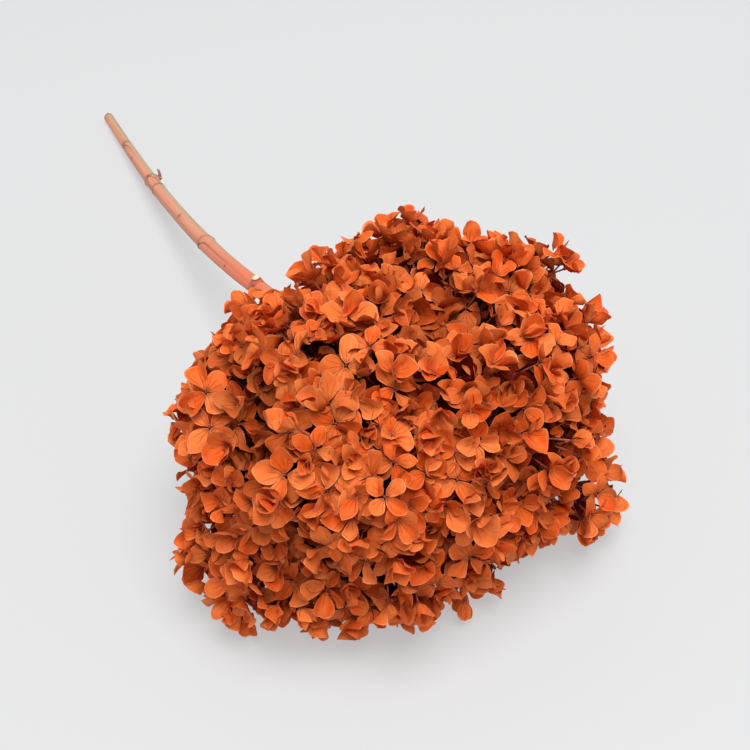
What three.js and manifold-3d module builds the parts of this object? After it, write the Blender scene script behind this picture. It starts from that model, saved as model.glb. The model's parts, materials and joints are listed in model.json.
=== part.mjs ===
// A cut stem of dried hydrangea lying on its side: a woody stem with its leaf scars and pruned stubs, and a
// round flower head of four-petalled florets on forking stalks. Millimetres, +Z up, the stem lies along +Y.
import * as THREE from "three";
import { mergeVertices } from "three/addons/utils/BufferGeometryUtils.js";
import Module from "manifold-3d";

const wasm = await Module();
wasm.setup();

// Flower head: half sizes of its outline, and the point that the outline is measured from
const HEAD_HALF = new THREE.Vector3(90, 76, 62);
const HEAD_CENTRE = new THREE.Vector3(-3, 6, 62);
const HEAD_SQUARENESS = 2.5; // 2 is an ellipsoid, and more is boxier

// Bulges and hollows of the head's outline, as shares of the distance from its centre
const SWELLS = [
  { towards: [0, 1, 0.15], share: -0.14, spread: 0.2 }, // hollow round the stem
  { towards: [-0.57, 0.74, 0.35], share: -0.15, spread: 0.07 }, // cut-back left shoulder
  { towards: [-0.85, -0.18, -0.49], share: 0.22, spread: 0.045 }, // left skirt, splayed on the table
  { towards: [0.75, -0.49, -0.44], share: 0.22, spread: 0.02 }, // right skirt
  { towards: [-0.15, -0.82, -0.55], share: 0.13, spread: 0.035 }, // front lip
  { towards: [0.1, -0.85, -0.5], share: 0.07, spread: 0.03 },
  { towards: [0.38, 0.59, 0.71], share: 0.07, spread: 0.02 }, // crest
  { towards: [0.71, 0.32, 0.63], share: -0.08, spread: 0.02 }, // dip beside the crest
  { towards: [0.87, 0.05, 0.48], share: 0.08, spread: 0.016 }, // right crest
  { towards: [0.86, -0.4, 0.1], share: -0.07, spread: 0.06 }, // cut-back right flank
];

// Florets: a hundred or so stand for the several hundred of the real head, so each is larger than life
const FLORETS = 106;
const SEED = 38;
const SEPALS = 4;
const SEPAL_LENGTH = 18;
const SEPAL_WIDTH = 20;
const SEPAL_THICKNESS = 1.3;
const EYE_HEIGHT = 1.6; // how far the front of the eye stands out
const EYE_DEPTH = 0.8; // how far its back does
const NOTCH_RADIUS = 4;
const FLORET_DEPTHS = [1, 6, 12]; // how far inside the outline the eyes sit, in turn
const DEPTH_PLAY = 3; // of an eye, inwards or outwards
const STALK_PULL = 0.8; // how much a floret faces along its stalk, against along the head's surface
const LEAN = 0.35; // how much it leans at random
const EYE_CLEARANCE = 3; // of the lowest eyes above the table
const LAYER_LIFT = 0.12; // by which each deeper one is higher, as a share of its depth
const STEM_GAP_DEG = 28; // half angle, about the stem, that carries no eyes
const STEM_CLEARANCE = 1.2; // of the petals from the stem
const PLACES_TRIED = 60;
const TURNS_TRIED = 24;

// Ranges that each petal is drawn from: size and swing from the even cross, and in millimetres how far its
// tip rises, its end curls back, its rib bulges, with roll as a slope across it
const PETAL_RANGES = {
  size: [0.88, 1.08],
  rise: [-2, 6],
  curl: [-2, 3.5],
  roll: [-0.3, 0.3],
  cup: [-1.2, 0.8],
  swing: [-0.06, 0.06],
};

// Half outlines of a pointed and of a round petal: share of its length, and of its half width
const POINTED_RIM = [[0.6, 0.86], [1.06, 0]];
const ROUND_RIM = [[0.56, 0.8], [0.98, 0.6]];
const RIB_SHARE = 0.56; // where along a petal its rib is thickest

// Forking stalks inside the head
const CROWN = new THREE.Vector3(-7, 50, 60); // where the stem ends and the stalks part
const CROWN_RADIUS = 6;
const FORKS = 8;
const FORK_REACH = 0.36;
const FORK_RADII = [2.6, 2.1];
const TWIGS = 24;
const TWIG_REACH = 0.62;
const TWIG_RADII = [1.9, 1.5];
const STALK_RADII = [0.9, 1.25];
const ROOT_SHARES = [1, 0.86, 0.72, 0.58, 0.44]; // where along a branch the next ones grow, in turn

// Stem: its middle line from the cut end to the crown, and its radius along it
const STEM_LINE = [
  [0, 346, 2.6],
  [-3.5, 302, 6.4],
  [-7, 256, 12.6],
  [-9.5, 208, 21.4],
  [-10.8, 160, 32.5],
  [-10.8, 118, 44.5],
  [-9, 82, 54],
  [-7, 56, 59],
];
const STEM_RADII = [2.6, 2.9, 3.35, 3.65, 3.9, 4.0, 4.0, 3.8];
const STEM_SIDES = 14;
const STEM_STEP = 9; // between plain rings of the stem
const RIDGE_SHARE = 0.045; // four low ridges run along each length between joints
const PITH_DEPTH = 1.2;
const PITH_SHARE = 0.45;
const PITH_TAPER = 0.8;
const SEAT_GAP = 0.3; // between the stem's top and the crown

// Joints of the stem, where leaves grew: distance along the line from the cut end, how far the lip stands out
// as a share of the radius, and the roll at which it does so most, from straight up towards +X
const JOINTS = [
  { along: 39, lip: 0.12, turn: -30 },
  { along: 84, lip: 0.15, turn: 55 },
  { along: 97, lip: 0.1, turn: 55 },
  { along: 170, lip: 0.15, turn: 85 },
  { along: 234, lip: 0.16, turn: -5 },
];
const LIP_LENGTH = 2.2;
const LIP_EVENNESS = 0.55; // 1 is a lip as high all round, and 0.5 one that dies out at its sides
const CUFF_SHARE = 0.4; // of the lip's height, where the stem stays thicker past it
const CUFF_LENGTH = 16;
const LEAST_STEP = 1.2; // between two rings of the stem

// Pruned side shoots: distance along the stem, roll about it, radius, length from the stem's middle line, and
// how far they lean towards the head
const STUBS = [
  { along: 86, roll: 60, radius: 1.4, length: 6, lean: 0.4 },
  { along: 235, roll: -5, radius: 1.9, length: 6.4, lean: 0.1 },
  { along: 258, roll: -14, radius: 2.4, length: 7.5, lean: 0.3 },
];
const STUB_FLARE = 1.25; // how much wider a stub is at its root
const DRY_TWIG = { stub: STUBS[0], radii: [0.9, 0.6], length: 5.2, towards: [-0.05, 0.15, 1] };

const COLOURS = { stem: 0xd9996f, head: 0xd2571c };

// A repeatable random number from 0 to 1.
function makeRandom(seed) {
  let state = seed >>> 0;
  return () => {
    state = (state + 0x6d2b79f5) >>> 0;
    let mixed = Math.imul(state ^ (state >>> 15), 1 | state);
    mixed = (mixed + Math.imul(mixed ^ (mixed >>> 7), 61 | mixed)) ^ mixed;
    return ((mixed ^ (mixed >>> 14)) >>> 0) / 4294967296;
  };
}

const random = makeRandom(SEED);
const between = (low, high) => low + (high - low) * random();

// A random unit vector.
function randomDirection() {
  const z = between(-1, 1);
  const turn = between(0, 2 * Math.PI);
  const flat = Math.sqrt(1 - z * z);
  return new THREE.Vector3(flat * Math.cos(turn), flat * Math.sin(turn), z);
}

// A closed three.js geometry as a solid.
function toSolid(geometry) {
  const bare = new THREE.BufferGeometry();
  bare.setAttribute("position", geometry.getAttribute("position"));
  bare.setIndex(geometry.index);
  const merged = mergeVertices(bare, 1e-3);
  return new wasm.Manifold(
    new wasm.Mesh({
      numProp: 3,
      vertProperties: new Float32Array(merged.attributes.position.array),
      triVerts: new Uint32Array(merged.index.array),
    }),
  );
}

// A solid as a three.js geometry, its largest body alone, so that no scrap or sealed hollow is left.
function toGeometry(solid) {
  const bodies = solid.decompose();
  const body = bodies.reduce((a, b) => (b.volume() > a.volume() ? b : a));
  const mesh = body.getMesh();
  const geometry = new THREE.BufferGeometry();
  geometry.setAttribute("position", new THREE.BufferAttribute(mesh.vertProperties, 3));
  geometry.setIndex(new THREE.BufferAttribute(mesh.triVerts, 1));
  geometry.computeVertexNormals();
  return geometry;
}

// How far the head reaches from its centre in a direction, to the tips of its petals.
function headReach(direction) {
  const power = HEAD_SQUARENESS;
  const sum =
    Math.abs(direction.x / HEAD_HALF.x) ** power +
    Math.abs(direction.y / HEAD_HALF.y) ** power +
    Math.abs(direction.z / HEAD_HALF.z) ** power;
  let share = 1;
  for (const swell of SWELLS) {
    const off = 1 - direction.dot(new THREE.Vector3(...swell.towards).normalize());
    share += swell.share * Math.exp(-off / swell.spread);
  }
  return share * sum ** (-1 / power);
}

// The point of the head in a direction, at a share of its reach and a depth inside it, kept above the table.
function headPoint(direction, share = 1, depth = 0) {
  const point = direction.clone().multiplyScalar(share * headReach(direction) - depth).add(HEAD_CENTRE);
  point.z = Math.max(point.z, EYE_CLEARANCE + LAYER_LIFT * depth);
  return point;
}

// Which way the head's surface faces, from two nearby directions.
function headNormal(direction) {
  const side = new THREE.Vector3(0, 0, 1).cross(direction);
  if (side.lengthSq() < 1e-4) side.set(1, 0, 0);
  side.normalize();
  const over = direction.clone().cross(side);
  const step = 0.12;
  const near = (axis, sign) => {
    const turned = direction.clone().addScaledVector(axis, sign * step).normalize();
    return turned.clone().multiplyScalar(headReach(turned));
  };
  const across = near(side, 1).sub(near(side, -1));
  const along = near(over, 1).sub(near(over, -1));
  return across.cross(along).normalize();
}

// Points spread evenly over the head, each as far as it can be from those before it, clear of the stem.
function spreadOver(count, share, depths) {
  const stemWay = CROWN.clone().sub(HEAD_CENTRE).normalize();
  const nearest = Math.cos(THREE.MathUtils.degToRad(STEM_GAP_DEG));
  const chosen = [];
  while (chosen.length < count) {
    const depth = depths[chosen.length % depths.length];
    let best = null;
    for (let i = 0; i < PLACES_TRIED; i++) {
      const direction = randomDirection();
      if (direction.dot(stemWay) > nearest) continue;
      const point = headPoint(direction, share, depth);
      const room = Math.min(1e6, ...chosen.map((other) => other.point.distanceTo(point)));
      if (!best || room > best.room) best = { direction, point, room };
    }
    chosen.push(best);
  }
  return chosen;
}

// A tapering stalk between two points.
function stalk(from, to, radii, sides) {
  const way = to.clone().sub(from);
  const shape = new THREE.CylinderGeometry(radii[1], radii[0], way.length(), sides);
  const turn = new THREE.Quaternion().setFromUnitVectors(new THREE.Vector3(0, 1, 0), way.normalize());
  shape.applyQuaternion(turn);
  shape.translate(...from.clone().add(to).multiplyScalar(0.5).toArray());
  return toSolid(shape);
}

// A point that would be under the table, bent up on to it and outwards by as much.
function onTable(point, outward) {
  const under = Math.max(0, -point.z);
  point.z += under;
  point.x += under * outward.x;
  point.y += under * outward.y;
  return point;
}

// One floret and its stalk as one body. The four petals are one thin leaf with a lobed outline, thickest
// along each petal's rib, and the stalk runs from the back of the eye to its root.
function floretSolid({ eye, facing, turn, petals, root, outward }) {
  const side = Math.abs(facing.z) < 0.9 ? new THREE.Vector3(0, 0, 1) : new THREE.Vector3(1, 0, 0);
  side.cross(facing).normalize();
  const over = facing.clone().cross(side);
  const points = [];
  const faces = [];
  const place = (along, across, angle, rise) =>
    eye
      .clone()
      .addScaledVector(side, along * Math.cos(angle) - across * Math.sin(angle))
      .addScaledVector(over, along * Math.sin(angle) + across * Math.cos(angle))
      .addScaledVector(facing, rise);
  const add = (point) => points.push(onTable(point, outward)) - 1;
  // A point of the front face and the one behind it; on the rim they are one.
  const rimPoint = (...where) => {
    const index = add(place(...where));
    return { front: index, back: index };
  };
  const thickPoint = (along, angle, rise) => {
    const front = place(along, 0, angle, rise + SEPAL_THICKNESS / 2);
    const back = place(along, 0, angle, rise - SEPAL_THICKNESS / 2);
    const lift = Math.max(0, -Math.min(front.z, back.z));
    for (const point of [front, back]) point.add(new THREE.Vector3(lift * outward.x, lift * outward.y, lift));
    return { front: points.push(front) - 1, back: points.push(back) - 1 };
  };
  const both = (a, b, c) => faces.push(a.front, b.front, c.front, a.back, c.back, b.back);
  const angleOf = (k) => turn + (k * 2 * Math.PI) / SEPALS;
  const eyeFront = add(place(0, 0, 0, EYE_HEIGHT));
  const eyeBack = petals.map((_, k) => add(place(STALK_RADII[1], 0, angleOf(k), -EYE_DEPTH)));
  const notches = petals.map((petal, k) => {
    const meanRise = (petal.rise + petals[(k + 1) % SEPALS].rise) / 2;
    return rimPoint(NOTCH_RADIUS, 0, angleOf(k + 0.5), (meanRise * NOTCH_RADIUS) / SEPAL_LENGTH);
  });
  petals.forEach((petal, k) => {
    const angle = angleOf(k) + petal.swing;
    const long = petal.size * SEPAL_LENGTH;
    const wide = (petal.size * SEPAL_WIDTH) / 2;
    const edge = ([share, sideways]) => {
      const across = sideways * wide;
      const rise = petal.rise * share - petal.curl * share ** 3 + petal.roll * across;
      return rimPoint(share * long, across, angle, rise);
    };
    const half = petal.round ? ROUND_RIM : POINTED_RIM;
    const right = half.map(([share, sideways]) => [share, -sideways]);
    const left = half.filter(([, sideways]) => sideways > 0).reverse();
    const rim = [...right, ...left].map(edge);
    const rib = thickPoint(RIB_SHARE * long, angle, petal.rise * RIB_SHARE + petal.cup);
    const hub = { front: eyeFront, back: eyeBack[k] };
    both(hub, notches[(k + SEPALS - 1) % SEPALS], rim[0]);
    both(hub, rim[0], rib);
    for (let i = 0; i < rim.length - 1; i++) both(rib, rim[i], rim[i + 1]);
    both(hub, rib, rim.at(-1));
    both(hub, rim.at(-1), notches[k]);
    faces.push(notches[k].back, eyeBack[k], eyeBack[(k + 1) % SEPALS]);
  });
  const foot = eyeBack.map((index) => {
    const spread = points[index].clone().sub(eye).multiplyScalar(STALK_RADII[0] / STALK_RADII[1]);
    return points.push(spread.add(root)) - 1;
  });
  eyeBack.forEach((top, k) => {
    const nextTop = eyeBack[(k + 1) % SEPALS];
    const nextFoot = foot[(k + 1) % SEPALS];
    faces.push(nextTop, top, foot[k], nextTop, foot[k], nextFoot);
  });
  faces.push(foot[0], foot[3], foot[2], foot[0], foot[2], foot[1]);
  const geometry = new THREE.BufferGeometry().setFromPoints(points);
  geometry.setIndex(faces);
  return toSolid(geometry);
}

// A floret with random petals and a random lean, about the way in which its place faces.
function drawFloret({ direction, point, root }) {
  const stalkWay = point.clone().sub(root).normalize();
  const eye = point.clone().addScaledVector(stalkWay, between(-DEPTH_PLAY, DEPTH_PLAY));
  eye.z = Math.max(eye.z, EYE_CLEARANCE);
  const facing = headNormal(direction).addScaledVector(stalkWay, STALK_PULL).normalize();
  facing.addScaledVector(randomDirection(), LEAN).normalize();
  const outward = new THREE.Vector3(direction.x, direction.y, 0).normalize();
  const round = random() < 0.5;
  const petals = Array.from({ length: SEPALS }, () => {
    const petal = { round };
    for (const [trait, [low, high]] of Object.entries(PETAL_RANGES)) petal[trait] = between(low, high);
    return petal;
  });
  return floretSolid({ eye, facing, turn: between(0, 2 * Math.PI), petals, root, outward });
}

// All florets, each the draw that meets the fewest of those already there, and clear of the stem.
function growFlorets(places, sleeve) {
  const grown = [];
  for (const place of places) {
    const near = grown.filter((other) => other.point.distanceTo(place.point) < 2.4 * SEPAL_LENGTH);
    let best = null;
    for (let i = 0; i < TURNS_TRIED; i++) {
      const solid = drawFloret(place);
      if (solid.intersect(sleeve).volume() > 0) continue;
      const meets = near.filter((other) => solid.intersect(other.solid).volume() > 0).length;
      if (!best || meets < best.meets) best = { point: place.point, solid, meets };
      if (meets === 0) break;
    }
    if (best) grown.push(best);
  }
  return grown;
}

// Branches from the nearest of some older ones to each place, with their roots staggered along those.
function branchOut(places, parents) {
  const borne = new Map(parents.map((parent) => [parent, 0]));
  return places.map((place) => {
    const parent = parents.reduce((a, b) =>
      b.tip.distanceTo(place.point) < a.tip.distanceTo(place.point) ? b : a,
    );
    const order = borne.get(parent);
    borne.set(parent, order + 1);
    const root = parent.root.clone().lerp(parent.tip, ROOT_SHARES[order % ROOT_SHARES.length]);
    return { ...place, root, tip: place.point };
  });
}

// The flower head as one body: the crown, its forking branches and the florets on them.
function flowerHead() {
  const forks = spreadOver(FORKS, FORK_REACH, [0]).map(({ point }) => ({ root: CROWN, tip: point }));
  const twigs = branchOut(spreadOver(TWIGS, TWIG_REACH, [0]), forks);
  const places = branchOut(spreadOver(FLORETS, 1, FLORET_DEPTHS), twigs);
  const sleeveRadius = Math.max(...STEM_RADII) + STEM_CLEARANCE;
  const sleeve = stalk(CROWN, new THREE.Vector3(...STEM_LINE.at(-3)), [sleeveRadius, sleeveRadius], 12);
  const parts = [crownBall(CROWN_RADIUS)];
  for (const fork of forks) parts.push(stalk(fork.root, fork.tip, FORK_RADII, 4));
  for (const twig of twigs) parts.push(stalk(twig.root, twig.tip, TWIG_RADII, 4));
  for (const floret of growFlorets(places, sleeve)) parts.push(floret.solid);
  return wasm.Manifold.union(parts);
}

// The stem's own frame at a distance along its middle line.
function stemFrame(curve, length, along) {
  const share = THREE.MathUtils.clamp(along / length, 0, 1);
  const point = curve.getPointAt(share);
  const way = curve.getTangentAt(share);
  const side = new THREE.Vector3(0, 0, 1).cross(way).normalize();
  return { share, point, way, side, up: way.clone().cross(side) };
}

// The stem's radius at a distance along it and an angle round it, with its ridges, lips and cuffs.
function stemRadius(along, share, angle) {
  const place = share * (STEM_RADII.length - 1);
  const index = Math.min(Math.floor(place), STEM_RADII.length - 2);
  const plain = THREE.MathUtils.lerp(STEM_RADII[index], STEM_RADII[index + 1], place - index);
  let swell = 1;
  let ridgeTurn = 0;
  for (const joint of JOINTS) {
    const past = along - joint.along;
    const off = angle - THREE.MathUtils.degToRad(joint.turn);
    const lip = joint.lip * (LIP_EVENNESS + (1 - LIP_EVENNESS) * Math.cos(2 * off));
    swell += lip * Math.exp(-((past / LIP_LENGTH) ** 2));
    if (past < 0) continue;
    swell += CUFF_SHARE * lip * Math.exp(-past / CUFF_LENGTH);
    ridgeTurn = THREE.MathUtils.degToRad(joint.turn);
  }
  return plain * swell * (1 + RIDGE_SHARE * Math.cos(4 * (angle - ridgeTurn)));
}

// Distances along the stem at which it gets a ring: evenly, and closer together at each joint's lip.
function stemStations(length) {
  const stations = new Set([0, length]);
  for (let along = STEM_STEP; along < length - STEM_STEP / 2; along += STEM_STEP) stations.add(along);
  for (const joint of JOINTS)
    for (const off of [-LIP_LENGTH, 0, LIP_LENGTH]) stations.add(joint.along + off);
  const sorted = [...stations].sort((a, b) => a - b);
  return sorted.filter((along, i) => i === 0 || along === length || along - sorted[i - 1] > LEAST_STEP);
}

// The main shoot: rings round the middle line, closed by a hollowed pith at the cut end and a flat top.
function shoot(curve, length) {
  const points = [];
  const faces = [];
  const ring = (frame, along, share = 1) => {
    for (let i = 0; i < STEM_SIDES; i++) {
      const angle = (2 * Math.PI * i) / STEM_SIDES;
      const radius = share * stemRadius(Math.max(along, 0), frame.share, angle);
      const point = frame.point.clone();
      point.addScaledVector(frame.up, radius * Math.cos(angle));
      point.addScaledVector(frame.side, radius * Math.sin(angle));
      point.z = Math.max(point.z, 0);
      points.push(point);
    }
  };
  const start = stemFrame(curve, length, 0);
  const pithFrame = { ...start, point: start.point.clone().addScaledVector(start.way, PITH_DEPTH) };
  ring(pithFrame, 0, PITH_SHARE * PITH_TAPER);
  ring(start, 0, PITH_SHARE);
  for (const along of stemStations(length)) ring(stemFrame(curve, length, along), along);
  const rings = points.length / STEM_SIDES;
  const at = (row, i) => row * STEM_SIDES + (i % STEM_SIDES);
  for (let row = 0; row < rings - 1; row++)
    for (let i = 0; i < STEM_SIDES; i++) {
      faces.push(at(row, i), at(row + 1, i), at(row, i + 1));
      faces.push(at(row, i + 1), at(row + 1, i), at(row + 1, i + 1));
    }
  for (let i = 1; i < STEM_SIDES - 1; i++) {
    faces.push(at(0, 0), at(0, i), at(0, i + 1));
    faces.push(at(rings - 1, 0), at(rings - 1, i + 1), at(rings - 1, i));
  }
  const geometry = new THREE.BufferGeometry().setFromPoints(points);
  geometry.setIndex(faces);
  return toSolid(geometry);
}

// The stem as one body: the shoot, its pruned stubs and the dead twig.
function woodyStem() {
  const curve = new THREE.CatmullRomCurve3(STEM_LINE.map((point) => new THREE.Vector3(...point)));
  const length = curve.getLength();
  const parts = [shoot(curve, length)];
  for (const stub of STUBS) {
    const frame = stemFrame(curve, length, stub.along);
    const roll = THREE.MathUtils.degToRad(stub.roll);
    const way = frame.up.clone().multiplyScalar(Math.cos(roll));
    way.addScaledVector(frame.side, Math.sin(roll)).addScaledVector(frame.way, stub.lean).normalize();
    const tip = frame.point.clone().addScaledVector(way, stub.length);
    parts.push(stalk(frame.point, tip, [stub.radius * STUB_FLARE, stub.radius], 10));
    if (stub !== DRY_TWIG.stub) continue;
    const end = tip.clone().add(new THREE.Vector3(...DRY_TWIG.towards).setLength(DRY_TWIG.length));
    parts.push(stalk(tip.addScaledVector(way, -DRY_TWIG.radii[0]), end, DRY_TWIG.radii, 6));
  }
  return wasm.Manifold.union(parts).subtract(crownBall(CROWN_RADIUS + SEAT_GAP));
}

// The ball at the crown, which the stem's top is hollowed for.
function crownBall(radius) {
  const ball = new THREE.IcosahedronGeometry(radius);
  ball.translate(...CROWN.toArray());
  return toSolid(ball);
}

function named(name, geometry, colour, roughness) {
  const material = new THREE.MeshStandardMaterial({ color: colour, roughness, metalness: 0 });
  const mesh = new THREE.Mesh(geometry, material);
  mesh.name = name;
  return mesh;
}

const flower = new THREE.Group();
flower.add(named("stem", toGeometry(woodyStem()), COLOURS.stem, 0.75));
flower.add(named("flower_head", toGeometry(flowerHead()), COLOURS.head, 0.85));

// The origin is on the table, under the middle of the whole.
const box = new THREE.Box3().setFromObject(flower, true);
const middle = box.getCenter(new THREE.Vector3());
flower.position.set(-middle.x, -middle.y, -box.min.z);

export default flower;
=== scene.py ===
"""Dresses a cut stem of dried hydrangea that lies on its side: four-petalled florets on forking stalks, their
eyes and buds, and the woody stem with its joints, leaf scars and pruned shoots, on a plain pale floor.

Sizes are in millimetres and in the design's own coordinates: X to the right, Y from the head towards the cut
end, Z up. A Bench turns them into the frame's metres.
"""

import json
import logging
import math
from dataclasses import dataclass
from enum import Enum
from typing import Sequence

import bpy
import numpy as np
from mathutils import Matrix, Vector, noise

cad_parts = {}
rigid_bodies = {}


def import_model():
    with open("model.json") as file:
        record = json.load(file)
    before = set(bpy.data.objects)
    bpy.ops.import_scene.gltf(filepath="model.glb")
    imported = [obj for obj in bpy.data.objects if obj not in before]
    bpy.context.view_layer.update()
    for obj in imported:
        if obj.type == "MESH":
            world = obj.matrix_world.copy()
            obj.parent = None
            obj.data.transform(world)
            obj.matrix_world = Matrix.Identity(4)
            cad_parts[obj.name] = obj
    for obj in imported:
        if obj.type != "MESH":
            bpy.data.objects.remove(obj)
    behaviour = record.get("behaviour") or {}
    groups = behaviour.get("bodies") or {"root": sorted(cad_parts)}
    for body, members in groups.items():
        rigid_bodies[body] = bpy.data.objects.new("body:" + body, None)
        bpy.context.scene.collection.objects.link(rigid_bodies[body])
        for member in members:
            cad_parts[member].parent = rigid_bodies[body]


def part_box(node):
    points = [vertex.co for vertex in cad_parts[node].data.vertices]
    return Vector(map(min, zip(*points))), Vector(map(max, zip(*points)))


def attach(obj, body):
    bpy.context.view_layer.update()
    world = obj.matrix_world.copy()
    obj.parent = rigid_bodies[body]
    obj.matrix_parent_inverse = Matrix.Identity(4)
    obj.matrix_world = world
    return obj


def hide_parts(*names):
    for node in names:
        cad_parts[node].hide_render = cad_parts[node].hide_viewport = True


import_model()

MM = 0.001
PHOTO_WIDTH = 750
STEM_NODE = "stem"
HEAD_NODE = "flower_head"
BODY = "root"
UP = np.array([0.0, 0.0, 1.0])
RIGHT = np.array([1.0, 0.0, 0.0])
NEARLY_UP = 0.99
NEARLY_ONE = 0.999
TINY = 1e-6

Colour = tuple[float, float, float]
Point = tuple[float, float, float]
Array = np.ndarray
Value = float | int | tuple | bpy.types.NodeSocket

log = logging.getLogger("hydrangea")


def unit(vectors: Sequence | Array) -> Array:
    """Scales one vector, or each row of several, to length 1."""
    rows = np.asarray(vectors, dtype=float)
    return rows / np.linalg.norm(rows, axis=-1, keepdims=True)


def opaque(colour: Colour) -> tuple[float, float, float, float]:
    """A colour with full alpha, as a socket takes it."""
    return (*colour, 1.0)


def bell(offsets: Array, width: float) -> Array:
    """A smooth bump: 1 at an offset of 0, falling away over the width."""
    return np.exp(-((offsets / width) ** 2))


def turns_round(sides: int) -> Array:
    """Evenly spaced angles round a full turn, in radians."""
    return np.linspace(0, 2 * math.pi, sides, endpoint=False)


def ring_points(centre: Array, axes: tuple[Array, Array], radius: float | Array, turns: Array) -> Array:
    """Points round a centre, at angles from the first axis towards the second."""
    return centre + np.outer(radius * np.cos(turns), axes[0]) + np.outer(radius * np.sin(turns), axes[1])


def tube_faces(rings: int, sides: int, turned: bool = False) -> list[tuple[int, ...]]:
    """The faces of a closed tube of stacked rings.

    Args:
        rings: how many rings it has.
        sides: how many points each ring has.
        turned: whether the rings run the other way round, so that each face is turned over.

    Returns:
        The vertex numbers of each face, those of the two ends last.
    """
    faces = []
    for low in range(0, (rings - 1) * sides, sides):
        high = low + sides
        for here in range(sides):
            after = (here + 1) % sides
            face = (low + here, low + after, high + after, high + here)
            faces.append(face[:1] + face[:0:-1] if turned else face)
    last = (rings - 1) * sides
    for end in (tuple(range(sides))[::-1], tuple(range(last, last + sides))):
        faces.append(end[::-1] if turned else end)
    return faces


@dataclass(frozen=True)
class Bench:
    """Where the design's coordinates lie in the frame."""

    stem_low: Point = (-15.22, 55.25, 0.0)  # the lowest corner of the stem's box

    def to_frame(self, points: Array) -> Array:
        """Turns design points in millimetres into frame points in metres.

        Args:
            points: one point a row.

        Returns:
            The same points in the frame.
        """
        low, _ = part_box(STEM_NODE)
        return (np.asarray(points) - self.stem_low) * MM + np.array(low)


class NodeSheet:
    """A node tree, with short calls that add nodes and join them."""

    def __init__(self, tree: bpy.types.NodeTree) -> None:
        """Keeps the tree that the nodes go into."""
        self.tree = tree

    def add(self, kind: str, inputs: dict | None = None, **settings: object) -> bpy.types.Node:
        """Adds a node.

        Args:
            kind: Blender's name for the type of node.
            inputs: a value or an output socket for each input, by the input's name or number.
            **settings: properties of the node.

        Returns:
            The new node.
        """
        node = self.tree.nodes.new(kind)
        for name, value in settings.items():
            setattr(node, name, value)
        for key, value in (inputs or {}).items():
            if isinstance(value, bpy.types.NodeSocket):
                self.tree.links.new(value, node.inputs[key])
            else:
                node.inputs[key].default_value = value
        return node

    def maths(self, operation: str, *values: Value) -> bpy.types.NodeSocket:
        """The result of a Math node on the values."""
        return self.add("ShaderNodeMath", dict(enumerate(values)), operation=operation).outputs[0]

    def between(self, value: Value, low: float, high: float) -> bpy.types.NodeSocket:
        """Rises smoothly from 0 to 1 as the value goes from low to high."""
        inputs = {"Value": value, "From Min": low, "From Max": high}
        return self.add("ShaderNodeMapRange", inputs, interpolation_type="SMOOTHSTEP").outputs[0]

    def mix(self, share: Value, first: Value, second: Value) -> bpy.types.NodeSocket:
        """A colour between two others."""
        colour_inputs = {0: share, 6: first, 7: second}
        return self.add("ShaderNodeMix", colour_inputs, data_type="RGBA").outputs[2]

    def coat(self, under: Value, mask: Value, share: float, over: Colour) -> bpy.types.NodeSocket:
        """A colour laid over another where the mask is, by the share at most."""
        return self.mix(self.maths("MULTIPLY", mask, share), under, opaque(over))

    def mottle(self, place: Value, scale: float, detail: float = 2.0) -> bpy.types.NodeSocket:
        """A cloudy pattern from 0 to 1."""
        return self.add("ShaderNodeTexNoise", {"Vector": place, "Scale": scale, "Detail": detail}).outputs[0]

    def bump(self, height: Value, strength: float, depth: float) -> bpy.types.NodeSocket:
        """A relief from a pattern of heights, with its depth in metres."""
        inputs = {"Height": height, "Strength": strength, "Distance": depth}
        return self.add("ShaderNodeBump", inputs).outputs[0]

    def skin(self, colour: Value, roughness: float, specular: float, normal: Value) -> bpy.types.Node:
        """The shader of a surface that is equally rough all over."""
        even = {"Roughness": roughness, "Specular IOR Level": specular}
        return self.add("ShaderNodeBsdfPrincipled", {"Base Color": colour, "Normal": normal, **even})

    def attribute(self, name: str) -> bpy.types.Node:
        """A node that reads one of the mesh's attributes."""
        return self.add("ShaderNodeAttribute", attribute_name=name)


def blank_material(name: str) -> tuple[bpy.types.Material, NodeSheet]:
    """Makes a material with no nodes yet.

    Args:
        name: what the material is called.

    Returns:
        The material, and the sheet that its nodes go on.
    """
    material = bpy.data.materials.new(name)
    material.use_nodes = True
    material.node_tree.nodes.clear()
    return material, NodeSheet(material.node_tree)


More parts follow.
